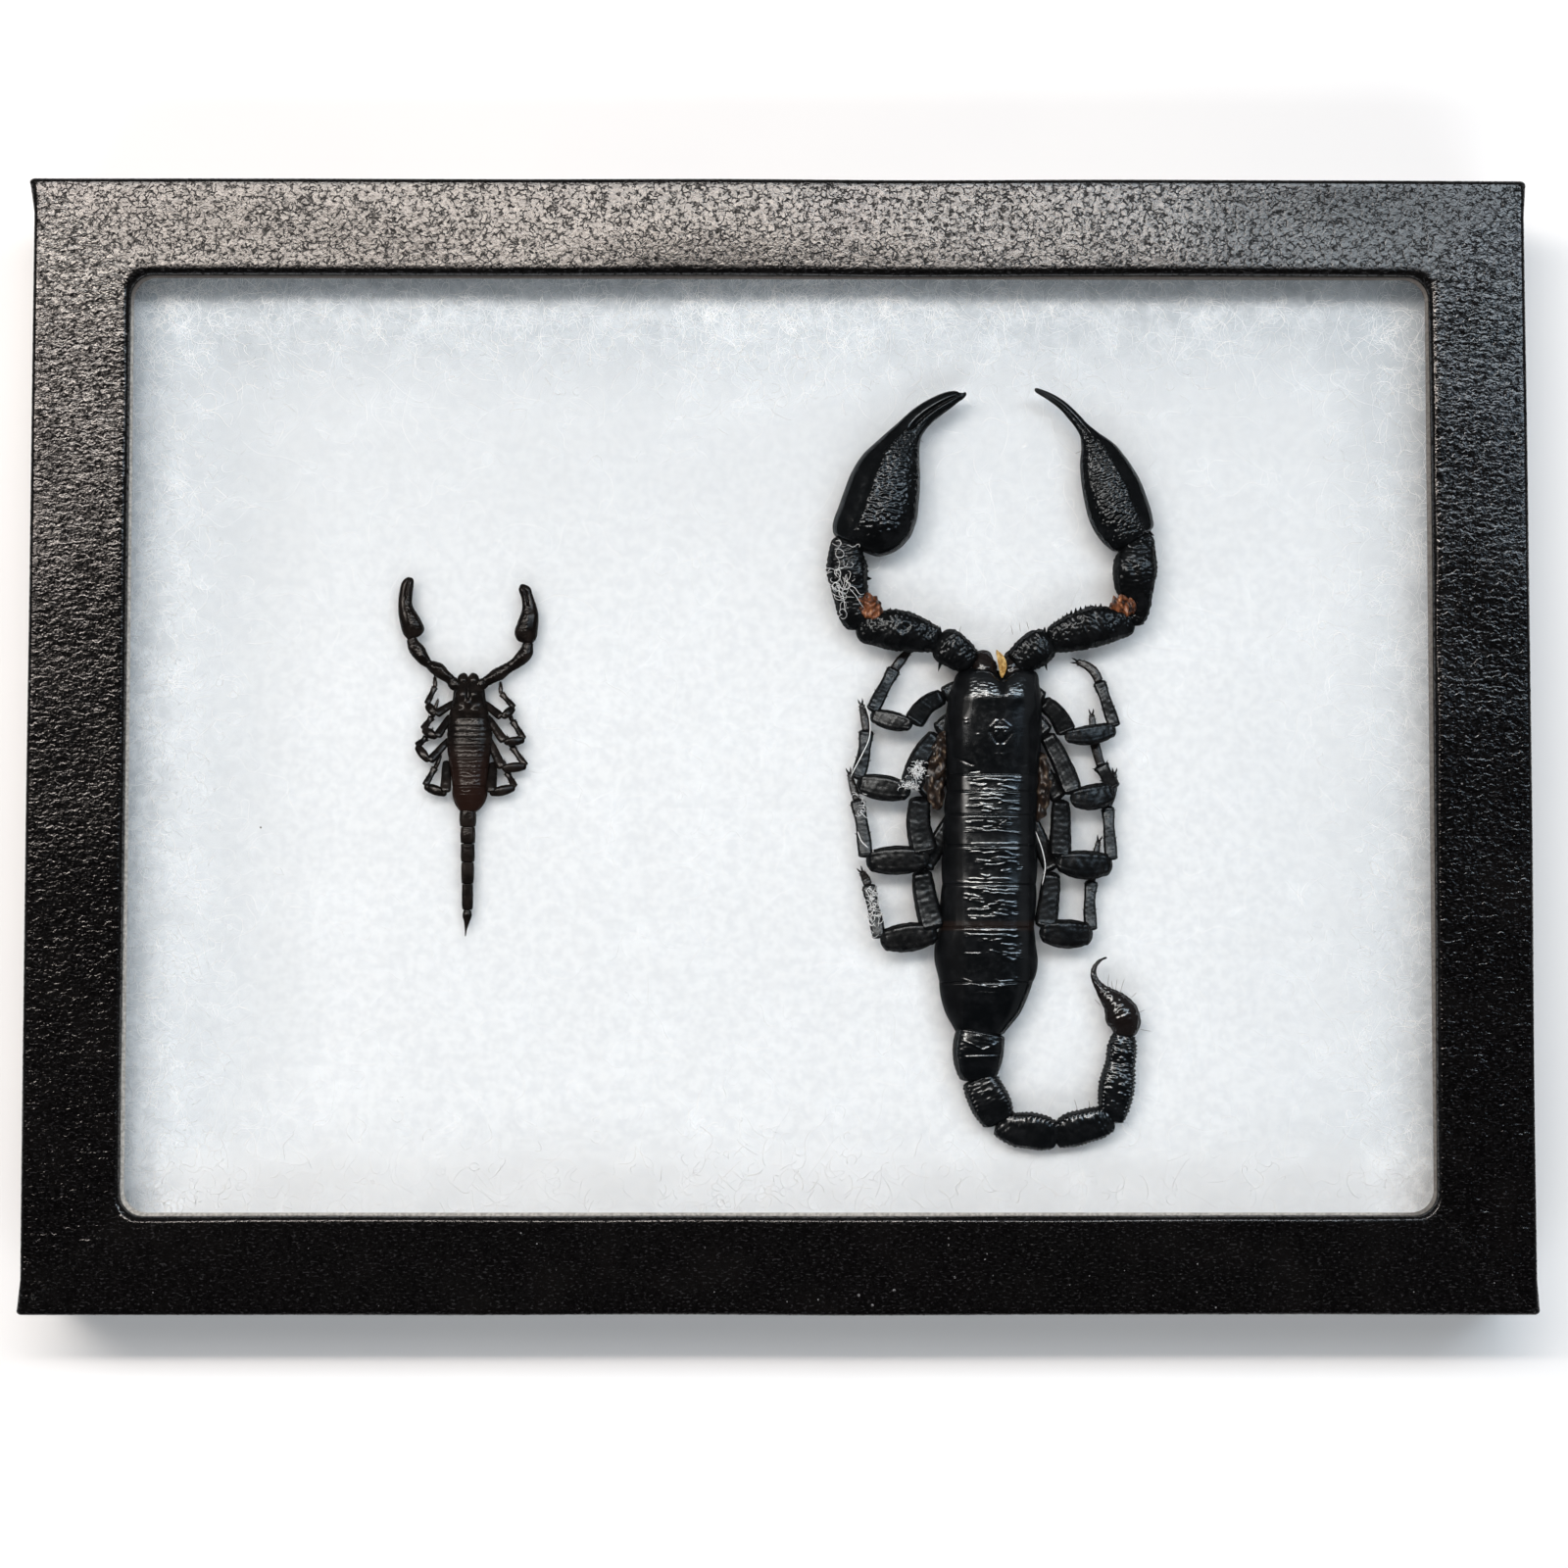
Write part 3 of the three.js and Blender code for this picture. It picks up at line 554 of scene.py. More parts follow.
# glass: clear, seen by the camera only, so that lamps light what lies under it
glassPaint = Paint("clear_glass")
glassSpot = glassPaint.place()
smear = glassPaint.noise(glassSpot, 45, 3.0).step(0.45, 0.8)
glassPaint.surface(Base_Color=(0.985, 0.995, 0.992, 1), Roughness=0.01 * smear, Transmission_Weight=1.0, IOR=1.5)
glass = nodes["glass_pane"]
glass.data.materials.clear()
glass.data.materials.append(glassPaint.material)
glass.visible_shadow = False
glass.visible_diffuse = False
glass.visible_glossy = False
# the lamps leave no image of themselves in the glass, so it stays clear from every side
unmirrored = bpy.data.collections.new("unmirrored")
unmirrored.objects.link(glass)
unmirrored.collection_objects[0].light_linking.link_state = "EXCLUDE"
for name in lamps:
    bpy.data.objects[name].light_linking.receiver_collection = unmirrored

# batting: a soft pad that rolls down at its edges and gives way under each body
pad = {
    "half": (106.7, 79.7), "bottom": 2.1, "top": 10.0, "roll": 3.0, "swell": 4.4, "cells": (300, 226),
    "nests": [(31.4, -15.5, 8.6, 31.0, 1.6), (-46.9, -0.2, 4.2, 12.0, 0.5)],  # x, y, half sizes, depth
}


# fold an even run of length over a rounded edge: out along the top, round a quarter circle, down the side;
# gives the place across and the drop
def foldOver(run, half, roll, height):
    flat = half - roll
    over = np.clip(np.abs(run) - flat, 0, None)
    angle = np.clip(over / roll, 0, math.pi / 2)
    across = np.minimum(np.abs(run), flat) + roll * np.sin(angle)
    drop = roll * (1 - np.cos(angle)) + np.clip(over - roll * math.pi / 2, 0, None)
    return np.sign(run) * across, np.minimum(drop, height)


def battingHeight(x, y):
    spots = np.stack([x, y], -1)
    height = 0.22 * lumps(spots, 40, 11) + 0.05 * lumps(spots, 11, 12) - 0.30
    height += pad["swell"] * np.maximum(rise(np.abs(x), 78, 101), np.maximum(rise(y, 50, 74), 0.6 * rise(-y, 40, 74)))
    for cx, cy, halfX, halfY, depth in pad["nests"]:
        height -= depth * np.exp(-(((x - cx) / halfX) ** 2 + ((y - cy) / halfY) ** 2) ** 2)
    return height


battingPaint = Paint("white_batting")
battingSpot = battingPaint.place()
tufts = battingPaint.noise(battingSpot, 1.6, 4.0, 0.65)
battingTone = battingPaint.mix(tufts.step(0.35, 0.65), (0.775, 0.81, 0.848), (0.848, 0.882, 0.915))
# painted shade: greyer towards the upper, the right and the left side, most of all in the upper corners, where the
# lid's border shades the batting; painted light: whiter along the lower side, against the lid's shadow there
across, up = (battingPaint.axis(battingSpot, name) / mm for name in "XY")
leftward, lower = across * -1.0, up * -1.0
shade = up.math("MAXIMUM", up.step(0, 62), 0.8 * across.step(55, 96))
battingTone = battingPaint.mix(shade * 0.45, battingTone, (0.60, 0.64, 0.68))
# painted shade that deepens towards the upper corners and the sides
paintedFallOffShade = 0.29 * (leftward.step(64, 88) - leftward.step(92, 97)) + 0.24 * up.step(48, 64)
paintedFallOffShade = paintedFallOffShade + across.step(78, 92) * (0.18 + 0.26 * up.step(20, 50))
battingTone = battingPaint.mix(paintedFallOffShade, battingTone, (0.42, 0.465, 0.505))
# painted light: whiter along the lower edge
battingTone = battingPaint.mix(0.9 * lower.step(57, 65), battingTone, (0.93, 0.965, 1.0))
# painted shade in patches by the window's edges, the upper and left most, where the batting lies thin
upper, beside = up.step(54, 69), 0.65 * leftward.step(86, 97)
others = up.math("MAXIMUM", 0.65 * across.step(86, 98), 0.12 * lower.step(48, 72))
edges = up.math("MAXIMUM", up.math("MAXIMUM", upper, beside), others)
paintedPatchShade = battingPaint.noise(battingSpot, 2.2, 4.0, 0.75).step(0.36, 0.62) * edges
battingTone = battingPaint.mix(paintedPatchShade * 0.7, battingTone, (0.42, 0.465, 0.505))
battingPaint.surface({"subsurface_method": "BURLEY"}, Base_Color=battingTone, Roughness=1.0, Specular_IOR_Level=0.1,
                     Subsurface_Weight=1.0, Subsurface_Radius=(1.0, 1.0, 1.0), Subsurface_Scale=0.004)
strandPaint = Paint("white_strands")
strandTone = strandPaint.mix(strandPaint.noise(strandPaint.place(), 4).step(0.4, 0.6), (0.93, 0.95, 0.97), (0.98, 0.985, 0.99))
strandPaint.surface(Base_Color=strandTone, Roughness=0.55, Specular_IOR_Level=0.3)


def makeBatting():
    halfX, halfY = pad["half"]
    height = pad["top"] - pad["bottom"]
    spare = pad["roll"] * (math.pi / 2 - 1) + height - pad["roll"]
    runX = np.linspace(-halfX - spare, halfX + spare, pad["cells"][0])
    runY = np.linspace(-halfY - spare, halfY + spare, pad["cells"][1])
    x, dropX = foldOver(runX, halfX, pad["roll"], height)
    y, dropY = foldOver(runY, halfY, pad["roll"], height)
    gridX, gridY = np.meshgrid(x, y)
    drop = np.minimum(np.hypot(*np.meshgrid(dropX, dropY)), height)
    z = pad["top"] - drop + battingHeight(gridX, gridY) * np.clip(1 - drop / height, 0, 1)
    rows, cols = gridX.shape
    points = np.stack([gridX, gridY, z], -1)
    grid = np.arange(rows * cols).reshape(rows, cols)
    rim = np.concatenate([grid[0], grid[1:, -1], grid[-1, -2::-1], grid[-2:0:-1, 0]])
    part = {"points": points, "faces": [gridFaces(rows, cols, False), rim[::-1][None, :]]}
    piece = putMesh("batting_pad", [part], [battingPaint.material], ["batting"])


# loose strands on the batting: each a gently curling line that wanders over the surface, rising and dipping
strandsSpec = {"count": 2300, "steps": 13, "length": (4, 16), "radius": (0.022, 0.040), "edge": 0.6}


def makeStrands():
    count, steps = strandsSpec["count"], strandsSpec["steps"]
    start = np.stack([rng.uniform(-101, 101, count), rng.uniform(-74, 74, count)], 1)
    # most of them near the window's edges, and above all along the upper one
    inward = np.abs(rng.normal(0, 7, count))
    which = rng.choice(4, count, p=[0.5, 0.2, 0.1, 0.2])
    edged = rng.random(count) < strandsSpec["edge"]
    start[edged & (which == 0), 1] = 71 - inward[edged & (which == 0)]
    start[edged & (which == 2), 1] = inward[edged & (which == 2)] - 71
    start[edged & (which == 1), 0] = inward[edged & (which == 1)] - 98
    start[edged & (which == 3), 0] = 98 - inward[edged & (which == 3)]
    heading = rng.uniform(0, 2 * math.pi, count)
    bend = rng.normal(0, 1.6, count)
    wobble = rng.normal(0, 0.8, (count, 3))
    length = rng.uniform(*strandsSpec["length"], count)
    share = np.linspace(0, 1, steps)
    angle = heading[:, None] + bend[:, None] * share + sum(
        wobble[:, k, None] * np.sin((k + 1.5) * math.pi * share + k) for k in range(3))
    step = (length / (steps - 1))[:, None]
    x = start[:, :1] + np.cumsum(np.cos(angle) * step, 1)
    y = start[:, 1:] + np.cumsum(np.sin(angle) * step, 1)
    x, y = np.clip(x, -103, 103), np.clip(y, -76, 76)
    lift = rng.uniform(0.0, 0.25, count)[:, None] * np.sin(math.pi * share) ** 2
    z = pad["top"] + battingHeight(x, y) + lift
    radius = rng.uniform(*strandsSpec["radius"], count)
    piece = putMesh("batting_strands", [fibreTubes(np.stack([x, y, z], -1), radius)], [strandPaint.material], ())
    piece.visible_shadow = False


# curls of fibre that stand off the batting by the window's edges: short lines that bend nearly into rings
curlsSpec = {"count": 3700, "steps": 9, "length": (1.6, 5.5), "radius": (0.036, 0.062), "lift": 1.8}


def makeCurls():
    count, steps = curlsSpec["count"], curlsSpec["steps"]
    inward = np.abs(rng.normal(0, 7.5, count))
    place = rng.uniform(-1, 1, count)
    which = rng.choice(4, count, p=[0.46, 0.30, 0.10, 0.14])
    sideX, sideY = np.array([0, -1, 0, 1])[which], np.array([1, 0, -1, 0])[which]
    x = np.where(sideX, sideX * (98 - inward), 98 * np.where(place < 0.2, place, place ** 2 - 0.2))
    y = np.where(sideY, sideY * (71 - inward), 71 * place)
    share = np.linspace(0, 1, steps)
    turn = rng.uniform(0, 2 * math.pi, (count, 1)) + rng.normal(0, 3.0, (count, 1)) * share
    turn = turn + rng.normal(0, 0.7, (count, 1)) * np.sin(6 * share)
    step = rng.uniform(*curlsSpec["length"], (count, 1)) / (steps - 1)
    x = np.clip(x[:, None] + np.cumsum(np.cos(turn) * step, 1), -101, 101)
    y = np.clip(y[:, None] + np.cumsum(np.sin(turn) * step, 1), -74, 74)
    lift = curlsSpec["lift"] * rng.random((count, 1)) ** 1.5 * (0.4 + 0.6 * np.sin(math.pi * share))
    z = pad["top"] + battingHeight(x, y) + lift
    radius = rng.uniform(*curlsSpec["radius"], count)
    piece = putMesh("batting_curls", [fibreTubes(np.stack([x, y, z], -1), radius)], [strandPaint.material], ())
    piece.visible_shadow = False


makeBatting()
makeStrands()
makeCurls()
print("batting")

# cuticle: near-black shell with a hard gloss; the point values roughen it (grain), brown it (warm) and take
# the gloss from its steep sides (dull)
shells = {
    "large_shell": {"dark": (0.0022, 0.0027, 0.0034), "light": (0.0065, 0.0072, 0.0085), "brown": (0.020, 0.011, 0.008),
                    "rough": 0.13, "gloss": 0.62, "coat": 0.40, "granule": 0.55, "depth": 0.05},
    "large_arm": {"dark": (0.0020, 0.0023, 0.0027), "light": (0.0058, 0.0063, 0.0072), "brown": (0.020, 0.011, 0.008),
                  "rough": 0.11, "gloss": 0.32, "coat": 0.0, "granule": 0.5, "depth": 0.05},
    "large_leg": {"dark": (0.0026, 0.0028, 0.0032), "light": (0.0102, 0.0102, 0.0108), "brown": (0.030, 0.016, 0.010),
                  "rough": 0.22, "gloss": 0.27, "coat": 0.0, "granule": 0.35, "depth": 0.05},
    "small_shell": {"dark": (0.0045, 0.0034, 0.0030), "light": (0.0150, 0.0110, 0.0095), "brown": (0.0190, 0.0085, 0.0062),
                    "rough": 0.15, "gloss": 0.16, "coat": 0.0, "granule": 0.34, "depth": 0.05},
}


def shellPaint(name):
    shell = shells[name]
    paint = Paint(name)
    spot = paint.place()
    grain = paint.own("grain")
    granules = paint.cells(spot, shell["granule"], "SMOOTH_F1") * -1.0
    fine = paint.noise(spot, 0.22, 4.0)
    height = granules * grain + fine * 0.14
    tone = paint.mix(paint.noise(spot, 2.2, 5.0).step(0.42, 0.72), shell["dark"], shell["light"])
    tone = paint.mix(paint.own("warm"), tone, shell["brown"])
    rough = shell["rough"] + 0.07 * grain + 0.10 * paint.noise(spot, 0.9).step(0.4, 0.8)
    bumps = paint.bump(height, shell["depth"])
    cool = (0.86, 0.94, 1.0, 1) if name.startswith("large") else (1, 1, 1, 1)
    shiny = paint.shader(Base_Color=tone, Roughness=rough, Specular_IOR_Level=shell["gloss"], Specular_Tint=cool,
                         Coat_Weight=shell["coat"], Coat_Roughness=0.10, Normal=bumps)
    matt = paint.shader(Base_Color=tone, Roughness=0.6, Specular_IOR_Level=0.06, Normal=bumps)
    return paint.finish(paint.blend(paint.own("dull") * 0.92, shiny, matt))


# dried skin at the joints and flanks: folded; its amber-brown colour is painted darker down in the folds and paler on
# the crests, as shade and highlight
def membranePaint(name, deep, middle, pale):
    paint = Paint(name)
    spot = paint.place()
    folds = paint.noise(paint.stretched(spot, (1.0, 0.5, 1.0)), 0.7, 5.0)
    # painted shade in the folds, painted highlight on the crests
    tone = paint.mix(folds.step(0.36, 0.56), deep, middle)
    tone = paint.mix(folds.step(0.56, 0.72), tone, pale)
    return paint.surface(Base_Color=tone, Roughness=0.30, Normal=paint.bump(folds, 0.22))


def hairsPaint(name, dark, light, rough):
    paint = Paint(name)
    tone = paint.mix(paint.noise(paint.place(), 0.9).step(0.4, 0.6), dark, light)
    return paint.surface(Base_Color=tone, Roughness=rough)


largeShell, largeArm, largeLeg, smallShell = (shellPaint(name) for name in shells)
amber = membranePaint("amber_joint_skin", (0.016, 0.007, 0.005), (0.19, 0.062, 0.024), (0.55, 0.27, 0.13))
flank = membranePaint("brown_flank_skin", (0.005, 0.0035, 0.003), (0.026, 0.015, 0.010), (0.24, 0.18, 0.13))
goldHair = hairsPaint("golden_hair", (0.42, 0.22, 0.045), (0.85, 0.62, 0.26), 0.45)
brownHair = hairsPaint("brown_bristle", (0.035, 0.022, 0.015), (0.10, 0.07, 0.05), 0.4)

base = pad["top"]  # the specimens lie on the batting

# large scorpion: body outline (y, left edge, right edge), half height of the back, rear lips of the plates
largeBack = {
    "outline": [(12.0, 28.4, 37.4), (11.3, 27.2, 38.3), (9, 25.9, 39.0), (5, 25.0, 39.3), (0, 24.9, 39.2),
                (-4, 25.1, 38.8), (-10.4, 24.6, 38.5), (-15, 24.4, 38.5), (-20.8, 24.2, 38.5), (-27, 23.8, 38.2),
                (-30, 23.25, 38.3), (-32.5, 23.25, 38.55), (-34.5, 23.6, 38.35), (-36.2, 23.8, 37.7),
                (-38.5, 24.3, 36.7), (-40.3, 24.9, 35.8), (-42.2, 25.9, 34.3), (-43.6, 26.6, 33.2)],
    "height": [(12.0, 1.4), (11.2, 2.2), (10.4, 2.86), (9.5, 3.17), (8.7, 3.33), (7.9, 3.47), (7.3, 3.565), (6.9, 3.605), (6, 3.61), (0, 3.60), (-4.4, 3.45), (-10, 3.5),
               (-20, 3.5), (-27, 3.5), (-35, 3.3), (-39.6, 3.0), (-43.6, 2.3)],
    "middle": 3.2, "ends": (1.2, 0.5), "square": 0.80, "scallop": 0.034, "count": 690, "sides": (100, 22),
    "lips": [-4.4, -6.9, -10.4, -15.0, -20.8, -27.2, -35.4, -43.9], "lip": 0.03, "seam": (0.16, 0.24),
    "wrinkle": 0.045, "wrinkleWidth": 0.14, "waver": 0.11,
    "wrinkles": [  # x from and to, y at its start, middle and end, height against the common one
        (28, 30.2, -4.9, -4.9, -4.95, 0.9), (28, 36.6, -5.2, -5.45, -5.5, 0.8), (35, 36.8, -5.3, -5.0, -5.4, 1.0),
        (28.4, 30.7, -6.0, -6.15, -6.2, 1.0), (32.4, 35.2, -6.2, -6.4, -6.9, 0.8), (27.9, 36.3, -7.35, -7.0, -7.65, 1.2),
        (29.8, 33.4, -7.8, -7.7, -7.9, 0.7), (28.4, 35.0, -8.3, -8.2, -8.9, 1.0), (30, 36, -11.0, -10.95, -11.1, 0.7),
        (27.8, 30.6, -11.7, -11.6, -11.4, 1.2), (27.7, 36.3, -13.2, -12.95, -13.4, 1.2), (27.8, 30.2, -12.6, -12.75, -12.8, 1.2),
        (28.5, 36.6, -15.0, -14.95, -14.9, 0.8), (28, 35.6, -15.65, -15.6, -15.75, 1.2), (28.3, 33.4, -16.1, -16.2, -16.0, 1.0),
        (28, 34.2, -20.15, -20.1, -20.15, 0.7), (25, 37.6, -20.3, -20.9, -20.9, 0.5), (27.8, 36.4, -21.4, -21.75, -21.95, 1.2),
        (30, 35.2, -22.2, -22.3, -22.5, 1.1), (27.5, 30, -22.5, -22.6, -22.9, 1.2), (27.4, 30.3, -23.0, -23.2, -23.1, 1.2),
        (28, 32.4, -25.7, -25.8, -25.75, 1.1), (28.8, 35.2, -27.7, -27.8, -27.8, 0.7), (27.6, 36.6, -28.45, -28.5, -28.7, 1.3),
        (29.3, 33.4, -29.2, -29.3, -29.2, 0.9), (27.4, 30, -31.2, -31.2, -31.1, 1.1), (30, 33.5, -32.2, -30.8, -32.1, 1.1),
        (27.0, 36.4, -34.9, -36.2, -35.1, 1.3), (28.8, 32.4, -37.2, -37.0, -37.3, 0.7), (29, 32.6, -41.7, -41.8, -41.7, 0.5)],
    "bands": [  # broken wrinkles close together: x from and to, y from and to, how many
        (27.7, 36.4, -8.7, -9.9, 11), (29.6, 34.6, -11.3, -12.6, 9), (27.6, 36.6, -16.6, -18.5, 14),
        (29.8, 34.2, -19.0, -19.4, 3), (27.8, 35.6, -23.4, -25.6, 17), (32.4, 36.6, -29.8, -32.2, 13), (27.2, 36.2, -35.0, -35.9, 4)],
}


# back plates: each lifts by a share of its length towards its rear lip and drops into the seam before the next
def plateRelief(y, lips, lip, seam):
    relief = np.zeros_like(y)
    for front, rear in zip(lips[:-1], lips[1:]):
        share = (front - y) / (front - rear)
        plate = lip * (front - rear) * (np.clip(share, 0, 1) ** 3 - 0.4) - seam[0] * bell(front - y, 0, seam[1])
        relief = np.where((share >= 0) & (share < 1), plate, relief)
    return relief


# crosswise wrinkles: each a thin ridge along a parabola through its start, middle and end, wavering a little;
# in the bands they are short, scattered ones
def wrinkleRelief(x, y, spec, seed):
    own = np.random.default_rng(seed)
    rows = list(spec["wrinkles"])
    for left, right, front, rear, count in spec["bands"]:
        start = own.uniform(left, right - 0.8, count)
        stop = np.minimum(start + own.uniform(1.0, 3.4, count), right)
        level = np.linspace(front, rear, count) + own.normal(0, 0.12, count)
        tilt, bow = own.normal(0, 0.16, count), own.normal(0, 0.20, count)
        rows += zip(start, stop, level + tilt, level + bow, level - tilt, own.uniform(0.6, 1.3, count))
    spots = np.stack([0.6 * x, 2.4 * y], -1)
    waver = spec["waver"] * (lumps(spots, 1.5, seed) + 0.6 * lumps(spots, 0.8, seed + 1))
    relief = np.zeros_like(y)
    for left, right, first, middle, last, high in rows:
        s = (x - left) / (right - left)
        line = first * (1 - s) * (1 - 2 * s) + 4 * middle * s * (1 - s) + last * s * (2 * s - 1)
        shown = rise(s, -0.06, 0.08) * (1 - rise(s, 0.92, 1.06))
        relief = np.maximum(relief, high * shown * bell(y - line, waver, spec["wrinkleWidth"]))
    return spec["wrinkle"] * relief


# bell of the distance from a straight stroke in plan
def stroke(x, y, ends, width):
    (x0, y0), (x1, y1) = ends
    along = np.clip(((x - x0) * (x1 - x0) + (y - y0) * (y1 - y0)) / ((x1 - x0) ** 2 + (y1 - y0) ** 2), 0, 1)
    return bell(np.hypot(x - x0 - along * (x1 - x0), y - y0 - along * (y1 - y0)), 0, width)


# carapace of the large scorpion: two front lobes parted by a furrow, both finely pitted, and the eye mound as a
# flat lozenge with a crest before it and a groove behind each of its rear edges
def carapaceRelief(x, y):
    furrow = -0.30 * bell(x, 33.3, 0.5) * rise(y, 6.9, 9.5)
    lobes = sum(0.11 * bell(x, 33.3 + side * 2.5, 1.7) for side in (-1, 1)) * bell(y, 7.7, 1.5)
    pitted = 0.026 * grains(x / 0.55, y / 0.36, 17) * rise(y, 6.6, 7.4) * (1 - rise(np.abs(x - 33.3), 4.6, 5.4))
    mound = 0.05 * (1 - rise(np.hypot((x - 32.9) / 1.5, (y - 1.9) / 1.7), 0.55, 1.0))
    crests = [((31.5, 2.5), (32.3, 3.45), 0.07), ((33.3, 3.5), (34.3, 2.6), 0.045), ((32.1, 2.35), (33.9, 2.3), 0.05)]
    grooves = [((31.35, 1.8), (32.4, 0.15), 0.08), ((34.45, 1.6), (33.3, 0.15), 0.08)]
    grooves += [((26.2, -2.0), (28.7, -3.1), 0.05), ((36.4, -3.2), (38.0, -2.5), 0.05), ((28.4, -4.2), (29.7, -4.0), 0.05)]
    dots = [(27.7, 3.7), (27.8, 3.25), (37.7, 3.0), (38.6, 3.65), (32.3, -1.5), (33.1, -1.55), (26.6, -3.6), (29.5, 1.4)]
    for start, stop, high in crests:
        mound = mound + high * stroke(x, y, (start, stop), 0.17)
    for start, stop, deep in grooves:
        mound = mound - deep * stroke(x, y, (start, stop), 0.18)
    for spotX, spotY in dots:
        mound = mound + 0.06 * bell(np.hypot(x - spotX, y - spotY), 0, 0.17)
    return (furrow + lobes + pitted + mound) * rise(y, -4.8, -4.4)


# back as a loft in y: a squared ellipse between the outline's edges, pushed up by plates, creases and carapace
def backRings(spec, carapace, seed):
    outline = np.asarray(spec["outline"])
    y = np.linspace(outline[0, 0], outline[-1, 0], spec["count"])
    leftEdge, rightEdge = along(outline[:, :2], y), along(outline[:, [0, 2]], y)
    ends = roundEnds(outline[0, 0] - y, spec["ends"])
    upper, lower = spec["sides"]
    angle = np.concatenate([np.linspace(0, math.pi, upper, endpoint=False),
                            np.linspace(math.pi, 2 * math.pi, lower, endpoint=False)])
    cosine, sine = squaredCircle(angle, spec["square"])
    lips = np.asarray(spec["lips"])
    plate = np.clip(np.searchsorted(-lips, -y) - 1, 0, len(lips) - 2)
    share = np.clip((lips[plate] - y) / (lips[plate] - lips[plate + 1]), 0, 1)
    scallop = 1 + spec["scallop"] * (np.sin(math.pi * share) ** 0.7 - 0.7) * (y < lips[0])
    x = ((rightEdge - leftEdge) / 2 * scallop * (0.4 + 0.6 * ends))[:, None] * cosine
    z = (along(spec["height"], y) * ends)[:, None] * sine
    grid = np.broadcast_to(y[:, None], x.shape)
    relief = plateRelief(grid, spec["lips"], spec["lip"], spec["seam"]) * rise(sine, -0.1, 0.3)
    across = (leftEdge + rightEdge)[:, None] / 2 + x
    relief = relief + (wrinkleRelief(across, grid, spec, seed) + carapace(across, grid)) * rise(sine, 0.2, 0.6)
    rings = np.stack([across, grid, base + spec["middle"] + z + relief * ends[:, None]], -1)
    return rings, across, grid


# skin of a bead-like part between two ends in plan, rows of x, y, z, half width and half height
def bead(rows, count=24, sides=20, rounds=(0.4, 0.4), finish=0, values=None, relief=None, square=1.0):
    return ringSkin(limbRings(rows, count, sides, rounds, square, relief), finish, values)


largeFace = {  # jaws, eyes and flank skin: rows of x, y, height over the batting, half width, half height
    "jaws": [[(30.9, 9.2, 3.3, 1.7, 1.5), (30.7, 11.6, 3.4, 1.9, 1.6), (30.9, 13.2, 3.1, 1.6, 1.3), (31.5, 14.2, 2.8, 0.8, 0.8)],
             [(34.6, 9.2, 3.3, 1.7, 1.5), (34.9, 11.6, 3.4, 1.9, 1.6), (34.7, 13.2, 3.1, 1.6, 1.3), (34.1, 14.1, 2.8, 0.8, 0.8)]],
    "eyes": [[(32.25, 1.2, 7.0, 0.3, 0.3), (32.2, 1.75, 7.02, 0.42, 0.34), (32.25, 2.3, 7.0, 0.3, 0.3)],
             [(33.5, 1.2, 7.0, 0.3, 0.3), (33.55, 1.75, 7.02, 0.42, 0.34), (33.5, 2.3, 7.0, 0.3, 0.3)]],
    "flanks": [[(24.9, 2.2, 2.6, 0.7, 1.2), (23.8, -1.5, 2.6, 1.3, 1.3), (23.2, -5.0, 2.4, 1.6, 1.3), (23.7, -9.8, 2.4, 0.9, 1.2)],
               [(39.3, -1.0, 2.6, 0.7, 1.2), (39.6, -5.0, 2.4, 1.0, 1.3), (39.4, -8.5, 2.4, 1.0, 1.2), (38.8, -11.5, 2.4, 0.6, 1.0)]],
}


def lifted(rows):
    return [(x, y, base + z, wide, tall) for x, y, z, wide, tall in rows]


def makeLargeBody():
    # the front margin dips to a notch between the lobes
    rings, x, y = backRings(largeBack, carapaceRelief, 7)
    rings[..., 1] -= 1.5 * bell(x, 33.3, 1.5) * rise(y, 7.5, 12.0)
    middle = 32.2 + 1.1 * rise(y, 3, 6)
    dull = np.maximum(rise(np.abs(x - middle), 4.4, 5.2), bell(x, 33.3, 0.6) * rise(y, 5.0, 6.4))
    parts = [ringSkin(rings, 0, {"dull": dull, "grain": 0.06 + 0.2 * rise(y, 5.5, 8.0), "warm": 0.5 * rise(-y, 26.2, 26.6) * (1 - rise(-y, 27.6, 28.0))})]
    for rows in largeFace["jaws"]:
        parts.append(bead(lifted(rows), 44, 36, (0.4, 0.9), 0, {"grain": 0.4, "warm": 0.35, "dull": 0.6},
                          lambda run, angle, spots: 0.07 * lumps(spots, 0.9, 19), 0.9))
    for rows in largeFace["eyes"]:
        parts.append(bead(lifted(rows), 16, 18))
    for rows in largeFace["flanks"]:
        parts.append(bead(lifted(rows), 90, 40, (1.5, 1.5), 1, None,
                          lambda run, angle, spots: 0.22 * lumps(spots * [1, 0.6, 1], 1.3, 21)))
    return putMesh("large_body_shell", parts, [largeShell, flank], ["large_body"])


# crescent of golden hairs between the jaws, each hair beside its neighbours along one arc
goldTuft = {"arc": [(32.5, 14.0, 4.7), (33.0, 13.1, 5.1), (33.3, 12.0, 5.4), (33.2, 10.2, 5.6)], "hairs": 110, "spread": 0.60}


def makeGoldTuft():
    arc, _ = smoothRows(goldTuft["arc"], 14)
    count = goldTuft["hairs"]
    swell = np.sin(math.pi * np.linspace(0.05, 0.95, 14))
    shift = rng.uniform(-1, 1, (count, 2)) * goldTuft["spread"]
    lines = np.repeat(arc[None], count, 0)
    lines[..., 0] += shift[:, :1] * swell
    lines[..., 1] += 0.25 * rng.uniform(-1, 1, (count, 1))
    lines[..., 2] += base + 0.6 * shift[:, 1:] * swell
    return putMesh("large_gold_tuft", [fibreTubes(lines, rng.uniform(0.04, 0.07, count))], [goldHair], ())


makeLargeBody()
makeGoldTuft()

